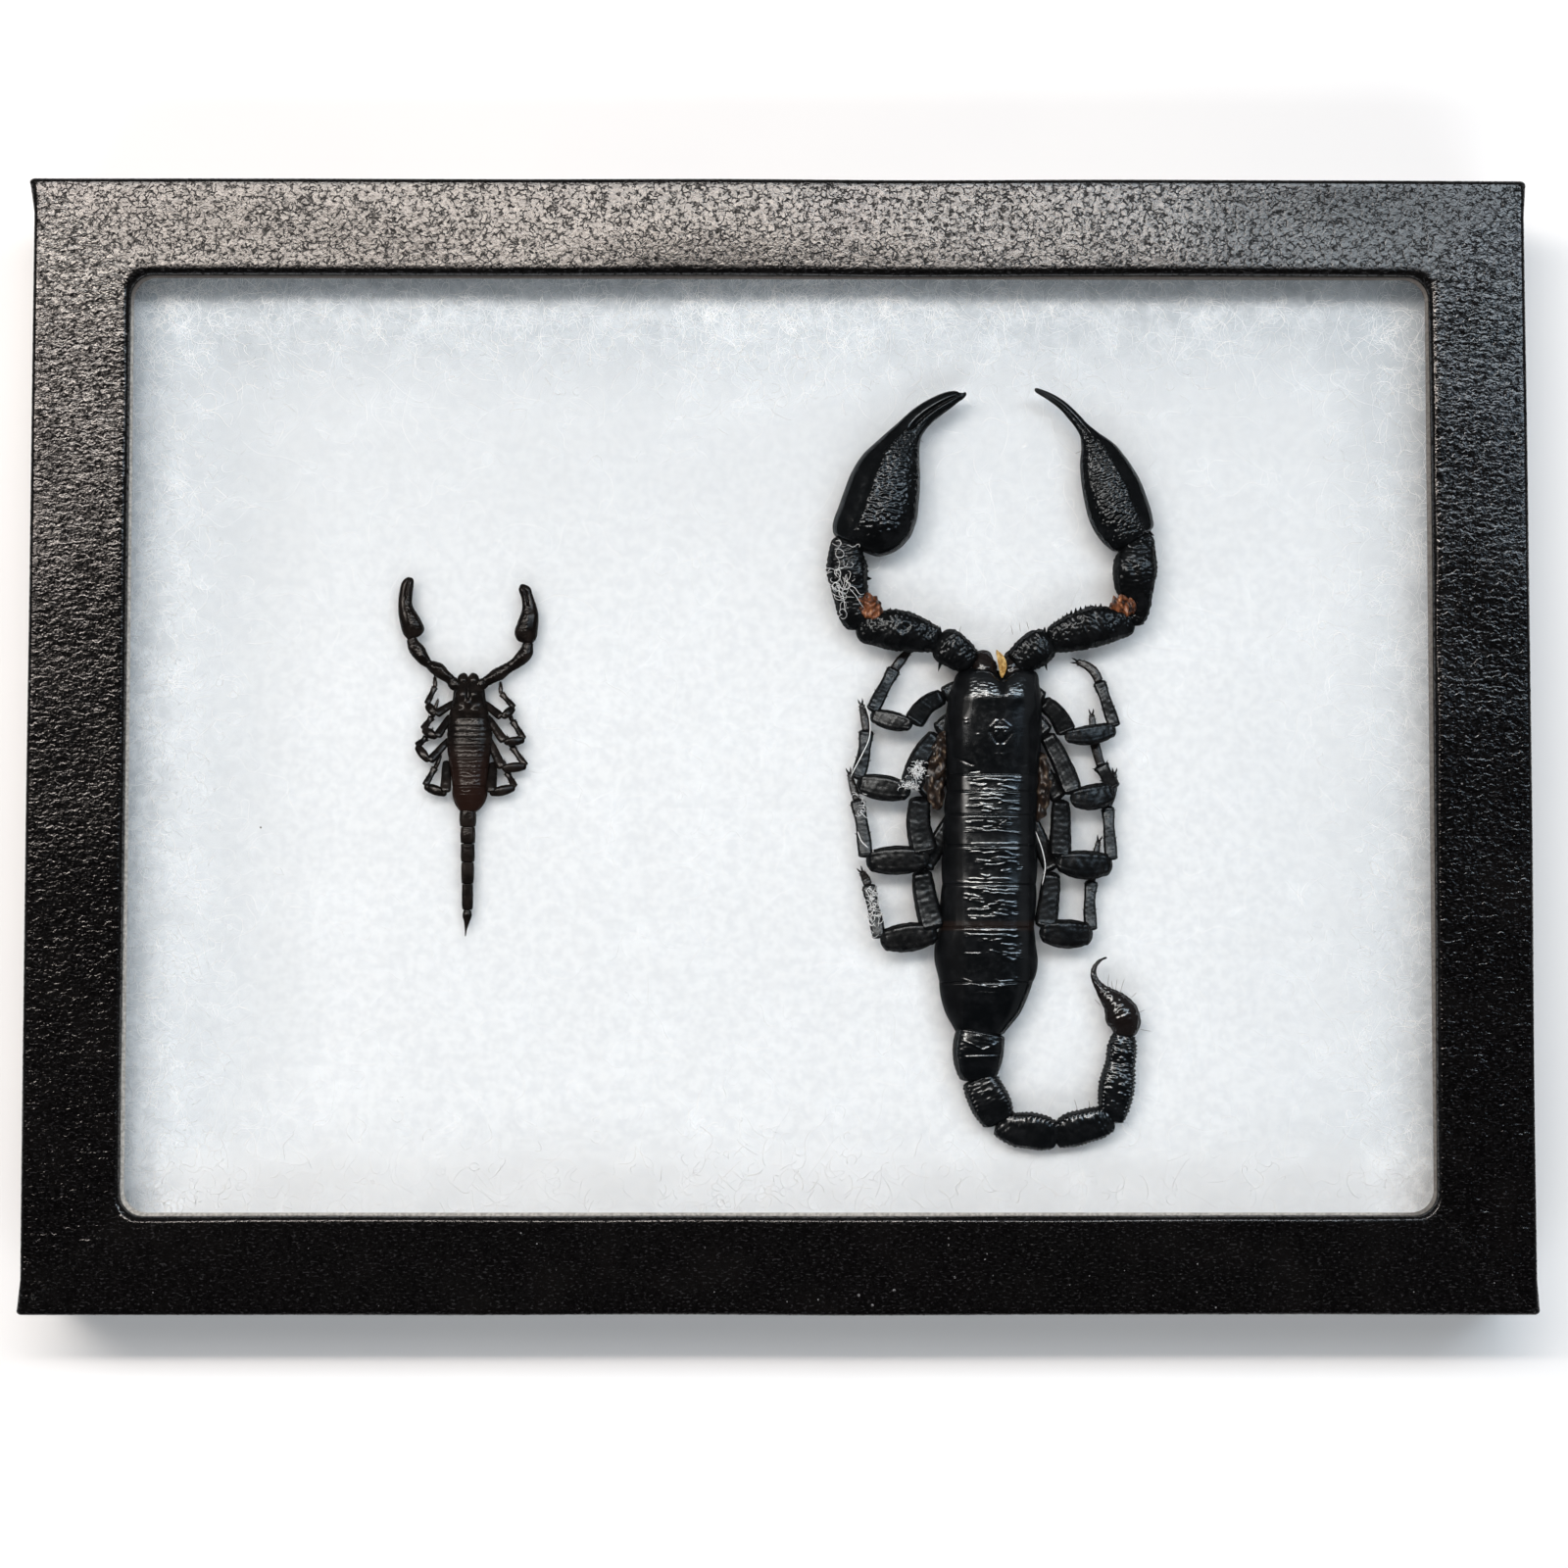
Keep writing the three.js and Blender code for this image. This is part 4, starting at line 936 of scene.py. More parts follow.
# pincers of the large scorpion: hand and fingers between two edges (left x, y, right x, y), where the ridge
# runs from the outer edge (0) to the inner (1), then the arm joints as x, y, half width
largePincers = {
    "left": {
        "hand": [(8.9, 30.6, 13.0, 29.0), (8.0, 32.0, 15.3, 28.4), (7.9, 33.0, 17.6, 29.3), (8.1, 34.0, 19.3, 30.9),
                 (8.7, 35.6, 20.4, 33.3), (9.6, 38.2, 20.9, 36.5), (10.7, 41.0, 21.1, 40.0), (12.3, 43.6, 21.0, 43.2),
                 (15.0, 46.2, 21.1, 45.6), (17.6, 48.5, 21.6, 47.0), (20.2, 50.8, 22.9, 48.6), (22.8, 52.4, 24.6, 50.0),
                 (25.0, 53.3, 26.2, 51.2), (26.8, 53.6, 27.5, 52.4)],
        "ridge": [(0, 0.28), (0.35, 0.34), (0.6, 0.44), (0.75, 0.55), (1, 0.55)], "outer": "left", "notch": 0.9,
        "patella": [(9.9, 31.6, 1.7), (9.9, 29.0, 2.5), (10.1, 26.3, 2.95), (10.4, 24.0, 2.65), (10.8, 21.5, 2.4),
                    (11.3, 19.2, 2.1), (11.9, 17.4, 1.2)],
        "femur": [(11.4, 16.9, 1.2), (14.3, 17.3, 2.4), (17.2, 17.3, 3.0), (20.0, 16.8, 2.7), (22.5, 16.1, 2.1), (24.0, 15.8, 1.7)],
        "trochanter": [(23.4, 15.8, 1.7), (25.0, 14.9, 2.6), (26.6, 13.9, 2.5), (29.0, 12.0, 1.7)],
        "elbow": [(11.9, 22.6, 0.9), (13.0, 21.2, 1.8), (14.3, 19.8, 1.7), (15.5, 19.3, 0.7)],
        "spikes": [(12.7, 26.2, 13.4, 26.15), (12.9, 25.1, 13.8, 25.05), (12.6, 24.1, 13.3, 24.0), (24.3, 13.2, 23.8, 11.1),
                   (24.0, 16.6, 24.05, 17.9), (26.6, 15.8, 27.0, 16.9), (27.7, 14.8, 28.2, 15.6)],
        "teeth": [(16.6, 20.0), (19.5, 19.35), (23.2, 17.5)],
    },
    "right": {
        "hand": [(51.6, 28.9, 55.3, 31.4), (50.3, 29.2, 56.2, 32.9), (49.0, 30.1, 56.1, 34.2), (47.6, 31.8, 55.8, 35.6),
                 (46.6, 33.8, 55.2, 37.4), (45.9, 36.5, 54.4, 39.6), (45.4, 39.5, 53.2, 41.8), (45.2, 42.5, 51.8, 43.8),
                 (45.4, 45.2, 50.0, 45.8), (45.2, 46.7, 48.0, 47.2), (44.6, 47.8, 46.5, 48.4), (43.6, 49.1, 45.0, 50.0),
                 (42.2, 50.7, 43.2, 51.7), (40.4, 52.1, 41.2, 53.0), (38.3, 53.4, 38.5, 54.1)],
        "ridge": [(0, 0.26), (0.35, 0.28), (0.55, 0.36), (0.75, 0.5), (1, 0.5)], "outer": "right", "notch": 0.0,
        "patella": [(54.7, 32.2, 1.5), (54.0, 29.5, 2.5), (53.5, 27.0, 3.2), (53.3, 25.0, 3.1), (53.6, 22.8, 2.5),
                    (54.0, 20.6, 1.6), (53.2, 18.0, 0.9)],
        "femur": [(53.4, 18.0, 1.1), (50.3, 18.1, 2.4), (47.6, 17.9, 2.95), (45.0, 17.2, 2.8), (42.6, 16.4, 2.4), (40.3, 15.6, 1.7)],
        "trochanter": [(40.9, 15.9, 1.7), (39.0, 14.8, 2.6), (37.4, 13.7, 2.5), (34.9, 12.0, 1.7)],
        "elbow": [(53.6, 20.4, 1.2), (52.2, 21.0, 1.8), (50.8, 20.9, 1.5), (49.4, 20.4, 0.6)],
        "spikes": [(39.7, 13.2, 40.1, 11.2), (36.0, 14.8, 35.4, 15.4), (37.2, 15.6, 36.9, 16.6), (39.7, 16.6, 39.8, 17.8),
                   (55.3, 32.2, 56.3, 31.6)],
        "teeth": [(41.2, 18.05), (44.6, 20.1), (48.2, 20.75)],
    },
}
hands = {"high": 4.0, "flatness": 0.56, "count": 260, "sides": 150, "grain": 0.52, "grainHeight": 0.14}
arms = {"high": 3.8, "flatness": 0.72, "grain": 0.50, "grainHeight": 0.09, "keel": 0.16, "bead": 0.8}


# hand and fingers: a loft between two edges, domed, smooth outside the ridge and grained inside it, the grains
# drawn out crosswise at the inner margin; a slit parts the fingers and one finger may end before the other
def handSkin(spec, kind, seed):
    edges, run = smoothRows(spec["hand"], kind["count"], 0.25)
    share = (run / run[-1])[:, None]
    centre, half = (edges[:, :2] + edges[:, 2:]) / 2, (edges[:, :2] - edges[:, 2:]) / 2
    wide = np.linalg.norm(half, axis=1)[:, None]
    ends = roundEnds(run, (1.6, 0.7))
    angle = np.linspace(0, 2 * math.pi, kind["sides"], endpoint=False)
    cosine, sine = squaredCircle(angle, 0.88)
    inner = (1 - cosine) / 2 + np.zeros_like(share)
    inner = inner if spec["outer"] == "left" else 1 - inner
    plan = centre[:, None] + (half * (0.35 + 0.65 * ends)[:, None])[:, None] * cosine[:, None]
    ahead = np.gradient(centre, axis=0)
    ahead /= np.linalg.norm(ahead, axis=1, keepdims=True)
    plan = plan + ahead[:, None] * (spec["notch"] * rise(inner, 0.45, 0.6) * rise(share, 0.955, 1.0))[..., None]
    ridge = along(spec["ridge"], share)
    top = rise(sine, 0.05, 0.4)
    inside = rise(inner - ridge, -0.04, 0.05)
    patch = top * inside * rise(share, 0.03, 0.08) * (1 - 0.75 * rise(share, 0.58, 0.78))
    stretch = 1 - 0.62 * rise(inner, 0.70, 0.88)
    pebble = grains(run[:, None] / kind["grain"], 2 * wide * inner * stretch / kind["grain"], seed)
    z = wide * kind["flatness"] * sine + top * wide * (0.02 * bell(inner, ridge, 0.07) - 0.06 * (1 - inside))
    z = z - top * 0.42 * wide * rise(share, 0.63, 0.72) * bell(inner, 0.54, 0.07)
    z = z * ends[:, None] + kind["grainHeight"] * patch * pebble
    rings = np.concatenate([plan, (base + kind["high"] + z)[..., None]], 2)
    return ringSkin(rings, 0, {"grain": 0.12 + 0.4 * patch}, (0.05, 0.5))


# short cones from root to tip in plan
def spikes(pairs, z, width):
    rows = [[(x0, y0, z, width, width), ((x0 + x1) / 2, (y0 + y1) / 2, z, 0.62 * width, 0.62 * width),
             (x1, y1, z, 0.1 * width, 0.1 * width)] for x0, y0, x1, y1 in pairs]
    return [bead(row, 6, 8, (0, 0), 0, {"grain": 0.2}) for row in rows]


# grains all over a joint and beaded keels along the edges of its upper side
def armRelief(spec, half, seed):
    def relief(run, angle, spots):
        beads = 0.5 + 0.5 * np.sin(2 * math.pi * run / spec["bead"])
        keels = sum(bell(angle, math.pi * turn, 0.12) for turn in (0.02, 0.26, 0.74, 0.98))
        pebble = grains(run / spec["grain"] + 0 * angle, angle * half / spec["grain"] + 0 * run, seed)
        return spec["keel"] * keels * (0.4 + 0.6 * beads) + spec["grainHeight"] * pebble + 0.05 * lumps(spots, 2.0, seed)
    return relief


def makeLargePincer(side, seed):
    spec = largePincers[side]
    parts = [handSkin(spec, hands, seed)]
    high = base + arms["high"]
    for joint, count in (("patella", 130), ("femur", 120), ("trochanter", 70)):
        rows = [(x, y, high, half, arms["flatness"] * half) for x, y, half in spec[joint]]
        parts.append(bead(rows, count, 72, (0.8, 0.8), 0, {"grain": 0.4, "dull": 0.45}, armRelief(arms, 2.6, seed), 0.7))
    rows = [(x, y, high + 0.75, 0.92 * half, 0.7 * half) for x, y, half in spec["elbow"]]
    parts.append(bead(rows, 60, 48, (0.6, 0.6), 1, None, lambda run, angle, spots: 0.30 * lumps(spots, 1.1, seed)))
    parts += spikes(spec["spikes"], high, 0.42)
    teeth, _ = smoothRows(spec["teeth"], 11)
    parts += spikes([(x, y - 0.35, x, y + 0.62) for x, y in teeth], high + 0.3, 0.34)
    return putMesh(f"large_pincer_{side}_shell", parts, [largeArm, amber], [f"large_pincer_{side}"])


makeLargePincer("left", 31)
makeLargePincer("right", 32)

# legs of the large scorpion: per joint the centre line in plan and the half width in the middle
largeLegs = {
    "left_1": [([(27.6, 9.0), (24.6, 7.4)], 1.3), ([(24.8, 7.6), (22.0, 6.0), (19.8, 3.1)], 1.4), ([(19.9, 2.9), (16.5, 3.7), (13.6, 4.6)], 1.3),
               ([(13.8, 5.0), (16.0, 9.3), (17.4, 11.8)], 0.95), ([(17.2, 11.5), (18.4, 13.1), (19.8, 14.8)], 0.68)],
    "left_2": [([(27.1, 4.6), (23.8, 1.8)], 1.5), ([(23.8, 1.8), (21.2, -1.7), (19.5, -6.6)], 1.5), ([(19.6, -7.1), (15.2, -6.4), (11.5, -5.7)], 1.75),
               ([(11.6, -5.2), (12.5, -2.0), (13.1, 2.5)], 1.0), ([(13.1, 2.2), (12.8, 4.2), (12.3, 6.4)], 0.6)],
    "left_3": [([(26.8, -1.5), (21.4, -7.6)], 1.4), ([(21.1, -7.6), (20.8, -12.0), (21.8, -16.6)], 1.75), ([(22.4, -17.1), (17.2, -17.3), (12.9, -17.4)], 1.95),
               ([(12.9, -16.9), (12.3, -11.5), (11.6, -8.0)], 1.0), ([(11.6, -8.2), (11.0, -6.0), (10.5, -4.0)], 0.55)],
    "left_4": [([(26.6, -10.0), (21.6, -18.4)], 1.3), ([(21.3, -18.6), (21.8, -22.8), (23.0, -27.8)], 1.7), ([(23.6, -28.2), (19.2, -28.8), (15.0, -29.3)], 1.95),
               ([(14.9, -29.0), (14.2, -25.0), (13.3, -20.8)], 0.95), ([(13.3, -21.0), (12.9, -19.9), (12.3, -18.9)], 0.6)],
    "right_1": [([(37.2, 8.6), (39.6, 6.7)], 1.3), ([(39.4, 6.8), (41.5, 4.8), (43.1, 1.6)], 1.35), ([(42.6, 1.2), (46.5, 1.5), (50.5, 2.5)], 1.35),
                ([(50.3, 2.7), (49.2, 6.5), (48.1, 9.9)], 0.9), ([(48.2, 9.7), (47.4, 11.3), (46.2, 12.3), (44.8, 12.8)], 0.65)],
    "right_2": [([(37.6, 4.4), (40.2, 1.6)], 1.4), ([(40.1, 1.8), (42.2, -2.5), (43.9, -7.4)], 1.4), ([(43.4, -8.1), (47.0, -7.8), (50.3, -6.8)], 1.75),
                ([(50.1, -6.6), (49.2, -4.6), (48.2, -2.7)], 1.05), ([(48.4, -3.0), (47.6, 0.0), (47.1, 4.9)], 0.66)],
    "right_3": [([(37.8, -1.5), (42.3, -8.0)], 1.3), ([(42.3, -8.0), (42.1, -12.4), (41.8, -17.0)], 1.5), ([(41.2, -17.5), (45.8, -18.0), (49.9, -17.8)], 1.95),
                ([(49.7, -17.3), (49.5, -12.8), (49.4, -9.0)], 0.9), ([(49.4, -9.2), (50.3, -6.4), (50.5, -4.0)], 0.55)],
    "right_4": [([(37.2, -10.0), (41.0, -18.8)], 1.2), ([(40.9, -18.9), (40.4, -22.6), (39.6, -27.6)], 1.5), ([(38.7, -28.0), (43.0, -28.3), (46.9, -28.2)], 1.95),
                ([(46.6, -27.8), (46.5, -23.8), (46.9, -20.2)], 0.9), ([(46.9, -20.5), (47.4, -17.2), (48.1, -14.2)], 0.55)],
}
largeStride = {"heights": [1.6, 1.9, 4.6, 3.3, 1.5, 0.9], "flatness": 0.6, "sides": 36, "count": 60, "keel": 0.13, "claw": 0.85,
               "girths": ["coxa", "femur", "patella", "tibia", "tarsus"]}
girths = {  # girth along a joint against its middle
    "coxa": [(0, 0.8), (0.5, 1.0), (1, 0.9)],
    "femur": [(0, 0.62), (0.15, 0.82), (0.5, 0.94), (0.8, 1.02), (0.93, 0.96), (1, 0.74)],
    "patella": [(0, 0.42), (0.14, 0.70), (0.35, 0.96), (0.6, 1.0), (0.84, 0.80), (1, 0.50)],
    "tibia": [(0, 0.92), (0.2, 1.0), (0.7, 0.84), (0.92, 0.98), (1, 0.85)],
    "tarsus": [(0, 0.9), (0.3, 1.0), (0.7, 0.8), (1, 0.5)],
}


# one leg: joints as beads along their lines, rising to the knee and falling to the foot, keels along the upper
# edges, spines on shin and foot, and a pair of hooked claws
def legSkins(joints, stride, seed):
    skins = []
    heights = [base + high for high in stride["heights"]]
    for number, ((plan, half), name) in enumerate(zip(joints, stride["girths"])):
        line, run = smoothRows(np.column_stack([np.asarray(plan, float), np.zeros(len(plan))]), 9)
        share = run / run[-1]
        girth = half * along(girths[name], share)
        z = heights[number] + (heights[number + 1] - heights[number]) * share
        flat = 0.85 if name == "tarsus" else stride["flatness"]

        def relief(run, angle, spots):
            keels = sum(bell(angle, math.pi * turn, 0.13) for turn in (0.04, 0.25, 0.75, 0.96))
            collars = bell(run, 0.45 * half, 0.16 * half) + bell(run[-1] - run, 0.45 * half, 0.16 * half)
            rough = 0.014 * lumps(spots, 0.45 * half + 0.2, seed + number)
            return half * (stride["keel"] * keels + 0.05 * collars + rough)

        skins.append(bead(np.column_stack([line[:, :2], z, girth, flat * girth]), stride["count"], stride["sides"],
                          (0.4 * half, 0.4 * half), 0, {"grain": 0.14, "warm": 0.2 * (name == "tarsus")}, relief, 0.62))
        if name in ("tibia", "tarsus"):
            ahead = np.gradient(line[:, :2], axis=0)
            ahead /= np.linalg.norm(ahead, axis=1, keepdims=True)
            for place in (3, 6, 7):
                for way in (-1, 1):
                    root = line[place, :2] + way * 0.8 * girth[place] * np.array([-ahead[place, 1], ahead[place, 0]])
                    tip = root + 0.5 * half * (ahead[place] + way * np.array([-ahead[place, 1], ahead[place, 0]]))
                    skins += spikes([(*root, *tip)], z[place], 0.14 * half)
    way, reach = ahead[-1], stride["claw"]
    for turn in (-1, 1):
        aside = turn * np.array([-way[1], way[0]])
        hook = [line[-1, :2] + reach * (far * way + out * aside) for far, out in ((-0.2, 0.1), (0.5, 0.35), (0.95, 0.42))]
        skins.append(bead([(*spot, heights[-1] + lift * reach, thick * reach, thick * reach)
                           for spot, lift, thick in zip(hook, (0, 0.06, -0.2), (0.2, 0.14, 0.03))], 8, 8, (0, 0)))
    return skins


for number, (name, joints) in enumerate(largeLegs.items()):
    putMesh(f"large_leg_{name}_shell", legSkins(joints, largeStride, 60 + 5 * number), [largeLeg],
            [f"large_leg_{name}"])

# tail of the large scorpion: x, y, half width along each joint, and the sting
largeTail = {
    "joints": [
        [(30.1, -42.6, 3.55), (29.75, -44.6, 3.75), (29.6, -46.5, 3.7), (29.6, -48.3, 3.3), (29.8, -50.2, 2.5)],
        [(29.6, -49.6, 2.45), (30.7, -52.0, 2.85), (31.7, -54.0, 2.9), (32.9, -56.5, 2.2)],
        [(32.4, -56.4, 1.7), (35.2, -57.4, 2.4), (37.5, -57.6, 2.6), (39.8, -58.1, 2.4), (41.6, -58.7, 1.6)],
        [(40.9, -58.8, 1.5), (43.3, -57.6, 2.4), (45.6, -56.9, 2.4), (48.0, -56.3, 2.2), (49.8, -55.8, 1.5)],
        [(49.6, -56.4, 1.5), (50.0, -53.5, 2.3), (50.4, -50.5, 2.5), (50.9, -47.5, 2.05), (51.2, -45.0, 2.0), (51.5, -43.2, 1.5)],
        [(51.5, -43.6, 1.4), (51.6, -41.8, 2.35), (51.0, -40.0, 2.5), (50.1, -38.6, 1.9), (48.9, -37.4, 1.25), (47.7, -36.0, 0.65),
         (47.0, -34.5, 0.40), (47.15, -33.2, 0.29), (47.9, -32.3, 0.18), (49.0, -31.8, 0.06)],
    ],
    "keels": [0.12, 0.22, 0.24, 0.24, 0.30, 0.04], "grains": [0.02, 0.04, 0.04, 0.05, 0.10, 0.08], "high": 3.2, "flatness": 0.8,
    "squares": [0.6, 0.5, 0.5, 0.5, 0.6, 0.9], "dulls": [0.1, 0.65, 0.45, 0.40, 0.35, 0.25],
    "bead": 0.62, "count": 120, "sides": 96,
}


# first tail joint: a crest in a wide V where it meets the body, a crosswise crest and a round scar
def firstJointRelief(spots):
    x, y = spots[..., 0], spots[..., 1]
    crests = [((27.0, -44.0), (30.2, -45.5)), ((30.2, -45.5), (33.4, -44.1)), ((27.6, -46.5), (32.6, -46.4))]
    lines = sum(stroke(x, y, ends, 0.12) for ends in crests)
    return 0.06 * lines + 0.05 * bell(np.hypot(x - 28.2, y + 47.7), 1.08, 0.15)


# keels of a tail joint: four beaded lines on the upper side, with grains between them
def tailRelief(spec, number, seed):
    def relief(run, angle, spots):
        beads = 0.55 + 0.45 * np.sin(2 * math.pi * run / spec["bead"] + 2 * np.sin(angle))
        keels = sum(bell(angle, math.pi * turn, 0.09) for turn in (0.03, 0.25, 0.75, 0.97))
        pebble = grains(run / spec["bead"] + 0 * angle, 2.4 * angle / (2 * spec["bead"]) + 0 * run, seed)
        skin = spec["keels"][number] * keels * beads + spec["grains"][number] * pebble + 0.012 * lumps(spots, 1.4, seed)
        return skin + (firstJointRelief(spots) * rise(np.sin(angle), 0.1, 0.5) if spec is largeTail and number == 0 else 0)
    return relief


def tailSkins(spec, seed):
    skins = []
    for number, rows in enumerate(spec["joints"]):
        last = number == len(spec["joints"]) - 1
        carried = [(x, y, base + spec["high"], half, spec["flatness"] * half) for x, y, half in rows]
        rounds = (0.14 * rows[1][2], 0.02 if last else 0.18 * rows[-2][2])
        skins.append(bead(carried, spec["count"], spec["sides"], rounds, 0, {"grain": 0.15, "warm": 0.3 * last * (spec is largeTail), "dull": spec["dulls"][number]},
                          tailRelief(spec, number, seed + number), spec["squares"][number]))
    return skins


putMesh("large_tail_shell", tailSkins(largeTail, 80), [largeShell], ["large_tail"])
print("large scorpion")

# small scorpion, made of the same kinds of skin
smallBack = {
    "outline": [(9.8, -48.3, -45.5), (9.0, -48.9, -44.8), (7, -49.3, -44.3), (4, -49.9, -43.7), (1.5, -50.1, -43.3), (-1, -50.0, -43.5),
                (-3, -49.7, -43.8), (-5.5, -49.3, -44.0), (-7.7, -49.2, -44.05), (-9.1, -48.7, -44.7), (-10.1, -48.0, -45.6)],
    "height": [(9.8, 0.9), (8.6, 1.25), (6, 1.5), (4.2, 1.5), (1, 1.65), (-3.2, 1.65), (-7.8, 1.5), (-10.1, 1.0)],
    "middle": 1.5, "ends": (0.5, 0.4), "square": 0.84, "scallop": 0.03, "count": 300, "sides": (70, 18),
    "lips": [4.2, 3.0, 2.1, 1.3, 0.1, -1.8, -3.4, -6.1, -10.4], "lip": 0.05, "seam": (0.12, 0.14),
    "wrinkle": 0.030, "wrinkleWidth": 0.11, "waver": 0.05,
    "wrinkles": [(-49.0, -44.5, -4.7, -4.8, -4.7, 1.0), (-48.8, -44.6, -7.4, -7.5, -7.4, 1.0), (-48.4, -45.0, -8.4, -8.5, -8.4, 0.8),
                 (-49.4, -44.2, -0.9, -1.0, -0.9, 0.7), (-49.2, -44.4, -2.6, -2.65, -2.5, 0.7)],
    "bands": [(-49, -44.8, 2.7, 0.4, 4), (-49, -44.6, 0.0, -1.6, 3), (-48.8, -44.8, -3.8, -7.0, 5)],
}
smallPincers = {
    "left": {"hand": [(-56.2, 15.8, -55.2, 16.0), (-56.8, 16.8, -54.3, 16.5), (-57.2, 18.2, -53.6, 17.5), (-57.5, 19.8, -54.2, 19.1), (-57.55, 21.6, -55.4, 21.2),
                      (-57.4, 23.2, -55.4, 22.9), (-57.05, 24.6, -55.25, 24.3), (-56.4, 25.5, -55.2, 25.3)],
             "ridge": [(0, 0.4), (1, 0.5)], "outer": "left", "notch": 0.0,
             "arm": [[(-55.7, 16.3, 0.65), (-54.8, 14.6, 1.0), (-54.0, 13.4, 0.95), (-52.7, 12.1, 0.65)],
                     [(-53.1, 12.4, 0.65), (-51.6, 11.5, 1.0), (-50.6, 10.7, 0.9), (-49.4, 9.7, 0.65)], [(-49.8, 10.0, 0.65), (-48.9, 9.2, 0.9), (-48.0, 8.6, 0.6)]]},
    "right": {"hand": [(-38.4, 15.3, -37.3, 15.1), (-39.5, 15.8, -36.7, 16.2), (-40.0, 16.9, -36.5, 17.6), (-39.6, 18.5, -36.4, 19.4), (-38.9, 20.6, -36.7, 21.0),
                       (-39.0, 22.3, -37.3, 22.8), (-39.4, 23.6, -37.8, 24.0), (-39.3, 24.3, -38.6, 24.5)],
              "ridge": [(0, 0.4), (1, 0.5)], "outer": "right", "notch": 0.0,
              "arm": [[(-37.8, 15.7, 0.65), (-38.3, 14.0, 1.0), (-39.2, 12.9, 0.95), (-40.8, 11.7, 0.7)],
                      [(-40.4, 11.9, 0.65), (-42.2, 10.9, 0.95), (-43.4, 10.2, 0.85), (-44.6, 9.5, 0.65)], [(-44.2, 9.7, 0.65), (-45.1, 9.1, 0.85), (-46.0, 8.6, 0.6)]]},
}
smallHands = {"high": 1.8, "flatness": 0.62, "count": 110, "sides": 56, "grain": 0.34, "grainHeight": 0.07}
smallArms = {"high": 1.8, "flatness": 0.75, "grain": 0.32, "grainHeight": 0.05, "keel": 0.05, "bead": 0.3}
smallLegs = {
    "left_1": [([(-49.0, 6.6), (-51.8, 4.6)], 0.63), ([(-51.7, 4.5), (-53.2, 6.3)], 0.68), ([(-53.2, 6.2), (-52.0, 9.0)], 0.46), ([(-52.0, 8.9), (-52.1, 10.5)], 0.34)],
    "left_2": [([(-49.6, 4.6), (-51.6, 1.2)], 0.63), ([(-51.5, 1.1), (-53.8, 2.5)], 0.68), ([(-53.8, 2.4), (-52.4, 4.4)], 0.51), ([(-52.4, 4.3), (-51.6, 7.0)], 0.34)],
    "left_3": [([(-49.8, 1.0), (-52.7, -2.5)], 0.63), ([(-52.7, -2.5), (-54.7, 0.0)], 0.68), ([(-54.7, -0.1), (-53.2, 1.3)], 0.51), ([(-53.3, 1.2), (-52.4, 2.6)], 0.34)],
    "left_4": [([(-50.2, -2.2), (-50.2, -7.2)], 0.78), ([(-50.0, -7.4), (-53.5, -6.1)], 0.74), ([(-53.4, -6.1), (-51.9, -3.2)], 0.51), ([(-51.9, -3.3), (-51.1, -1.4)], 0.34)],
    "right_1": [([(-44.8, 6.6), (-41.8, 4.2)], 0.63), ([(-41.8, 4.1), (-40.0, 5.8)], 0.66), ([(-40.0, 5.7), (-42.1, 8.0)], 0.46), ([(-42.1, 7.9), (-42.2, 9.7)], 0.34)],
    "right_2": [([(-44.2, 4.5), (-41.4, 0.5)], 0.66), ([(-41.5, 0.4), (-38.4, 0.9)], 0.68), ([(-38.5, 0.9), (-40.4, 3.9)], 0.51), ([(-40.4, 3.8), (-41.0, 5.3)], 0.34)],
    "right_3": [([(-44.0, 1.2), (-41.7, -3.5)], 0.68), ([(-41.8, -3.5), (-38.1, -3.1)], 0.73), ([(-38.2, -3.1), (-40.5, 0.0)], 0.51), ([(-40.5, -0.1), (-41.2, 1.5)], 0.34)],
    "right_4": [([(-43.2, -2.4), (-43.4, -7.2)], 0.78), ([(-43.6, -7.3), (-39.8, -6.3)], 0.75), ([(-39.8, -6.3), (-41.2, -3.9)], 0.51), ([(-41.2, -4.0), (-41.6, -2.2)], 0.34)],
}
smallStride = {"heights": [1.0, 2.3, 1.6, 0.8, 0.6], "flatness": 0.7, "sides": 20, "count": 32, "keel": 0.04, "claw": 0.3,
               "girths": ["femur", "patella", "tibia", "tarsus"]}
smallTail = {
    "joints": [
        [(-46.9, -9.6, 1.12), (-46.9, -10.6, 1.22), (-46.9, -11.6, 1.2), (-46.9, -12.3, 1.08)],
        [(-46.9, -12.2, 1.0), (-46.9, -12.9, 1.06), (-46.9, -14.0, 1.08), (-46.9, -14.8, 1.0)],
        [(-46.9, -14.75, 0.96), (-46.9, -15.6, 1.0), (-46.9, -16.8, 1.0), (-46.9, -17.6, 0.92)],
        [(-46.9, -17.55, 0.88), (-46.9, -18.4, 0.92), (-46.9, -20.0, 0.9), (-46.9, -20.85, 0.82)],
        [(-46.9, -20.8, 0.78), (-46.9, -21.6, 0.80), (-46.9, -23.8, 0.80), (-46.9, -24.75, 0.74)],
        [(-46.9, -24.7, 0.5), (-46.95, -25.5, 0.67), (-47.0, -26.5, 0.42), (-47.1, -27.4, 0.2), (-47.2, -28.7, 0.05)],
    ],
    "keels": [0.09, 0.10, 0.10, 0.10, 0.10, 0.02], "grains": [0.02] * 6, "squares": [0.6] * 6, "dulls": [0.2] * 6, "high": 1.4, "flatness": 0.9, "bead": 0.3,
    "count": 64, "sides": 40,
}
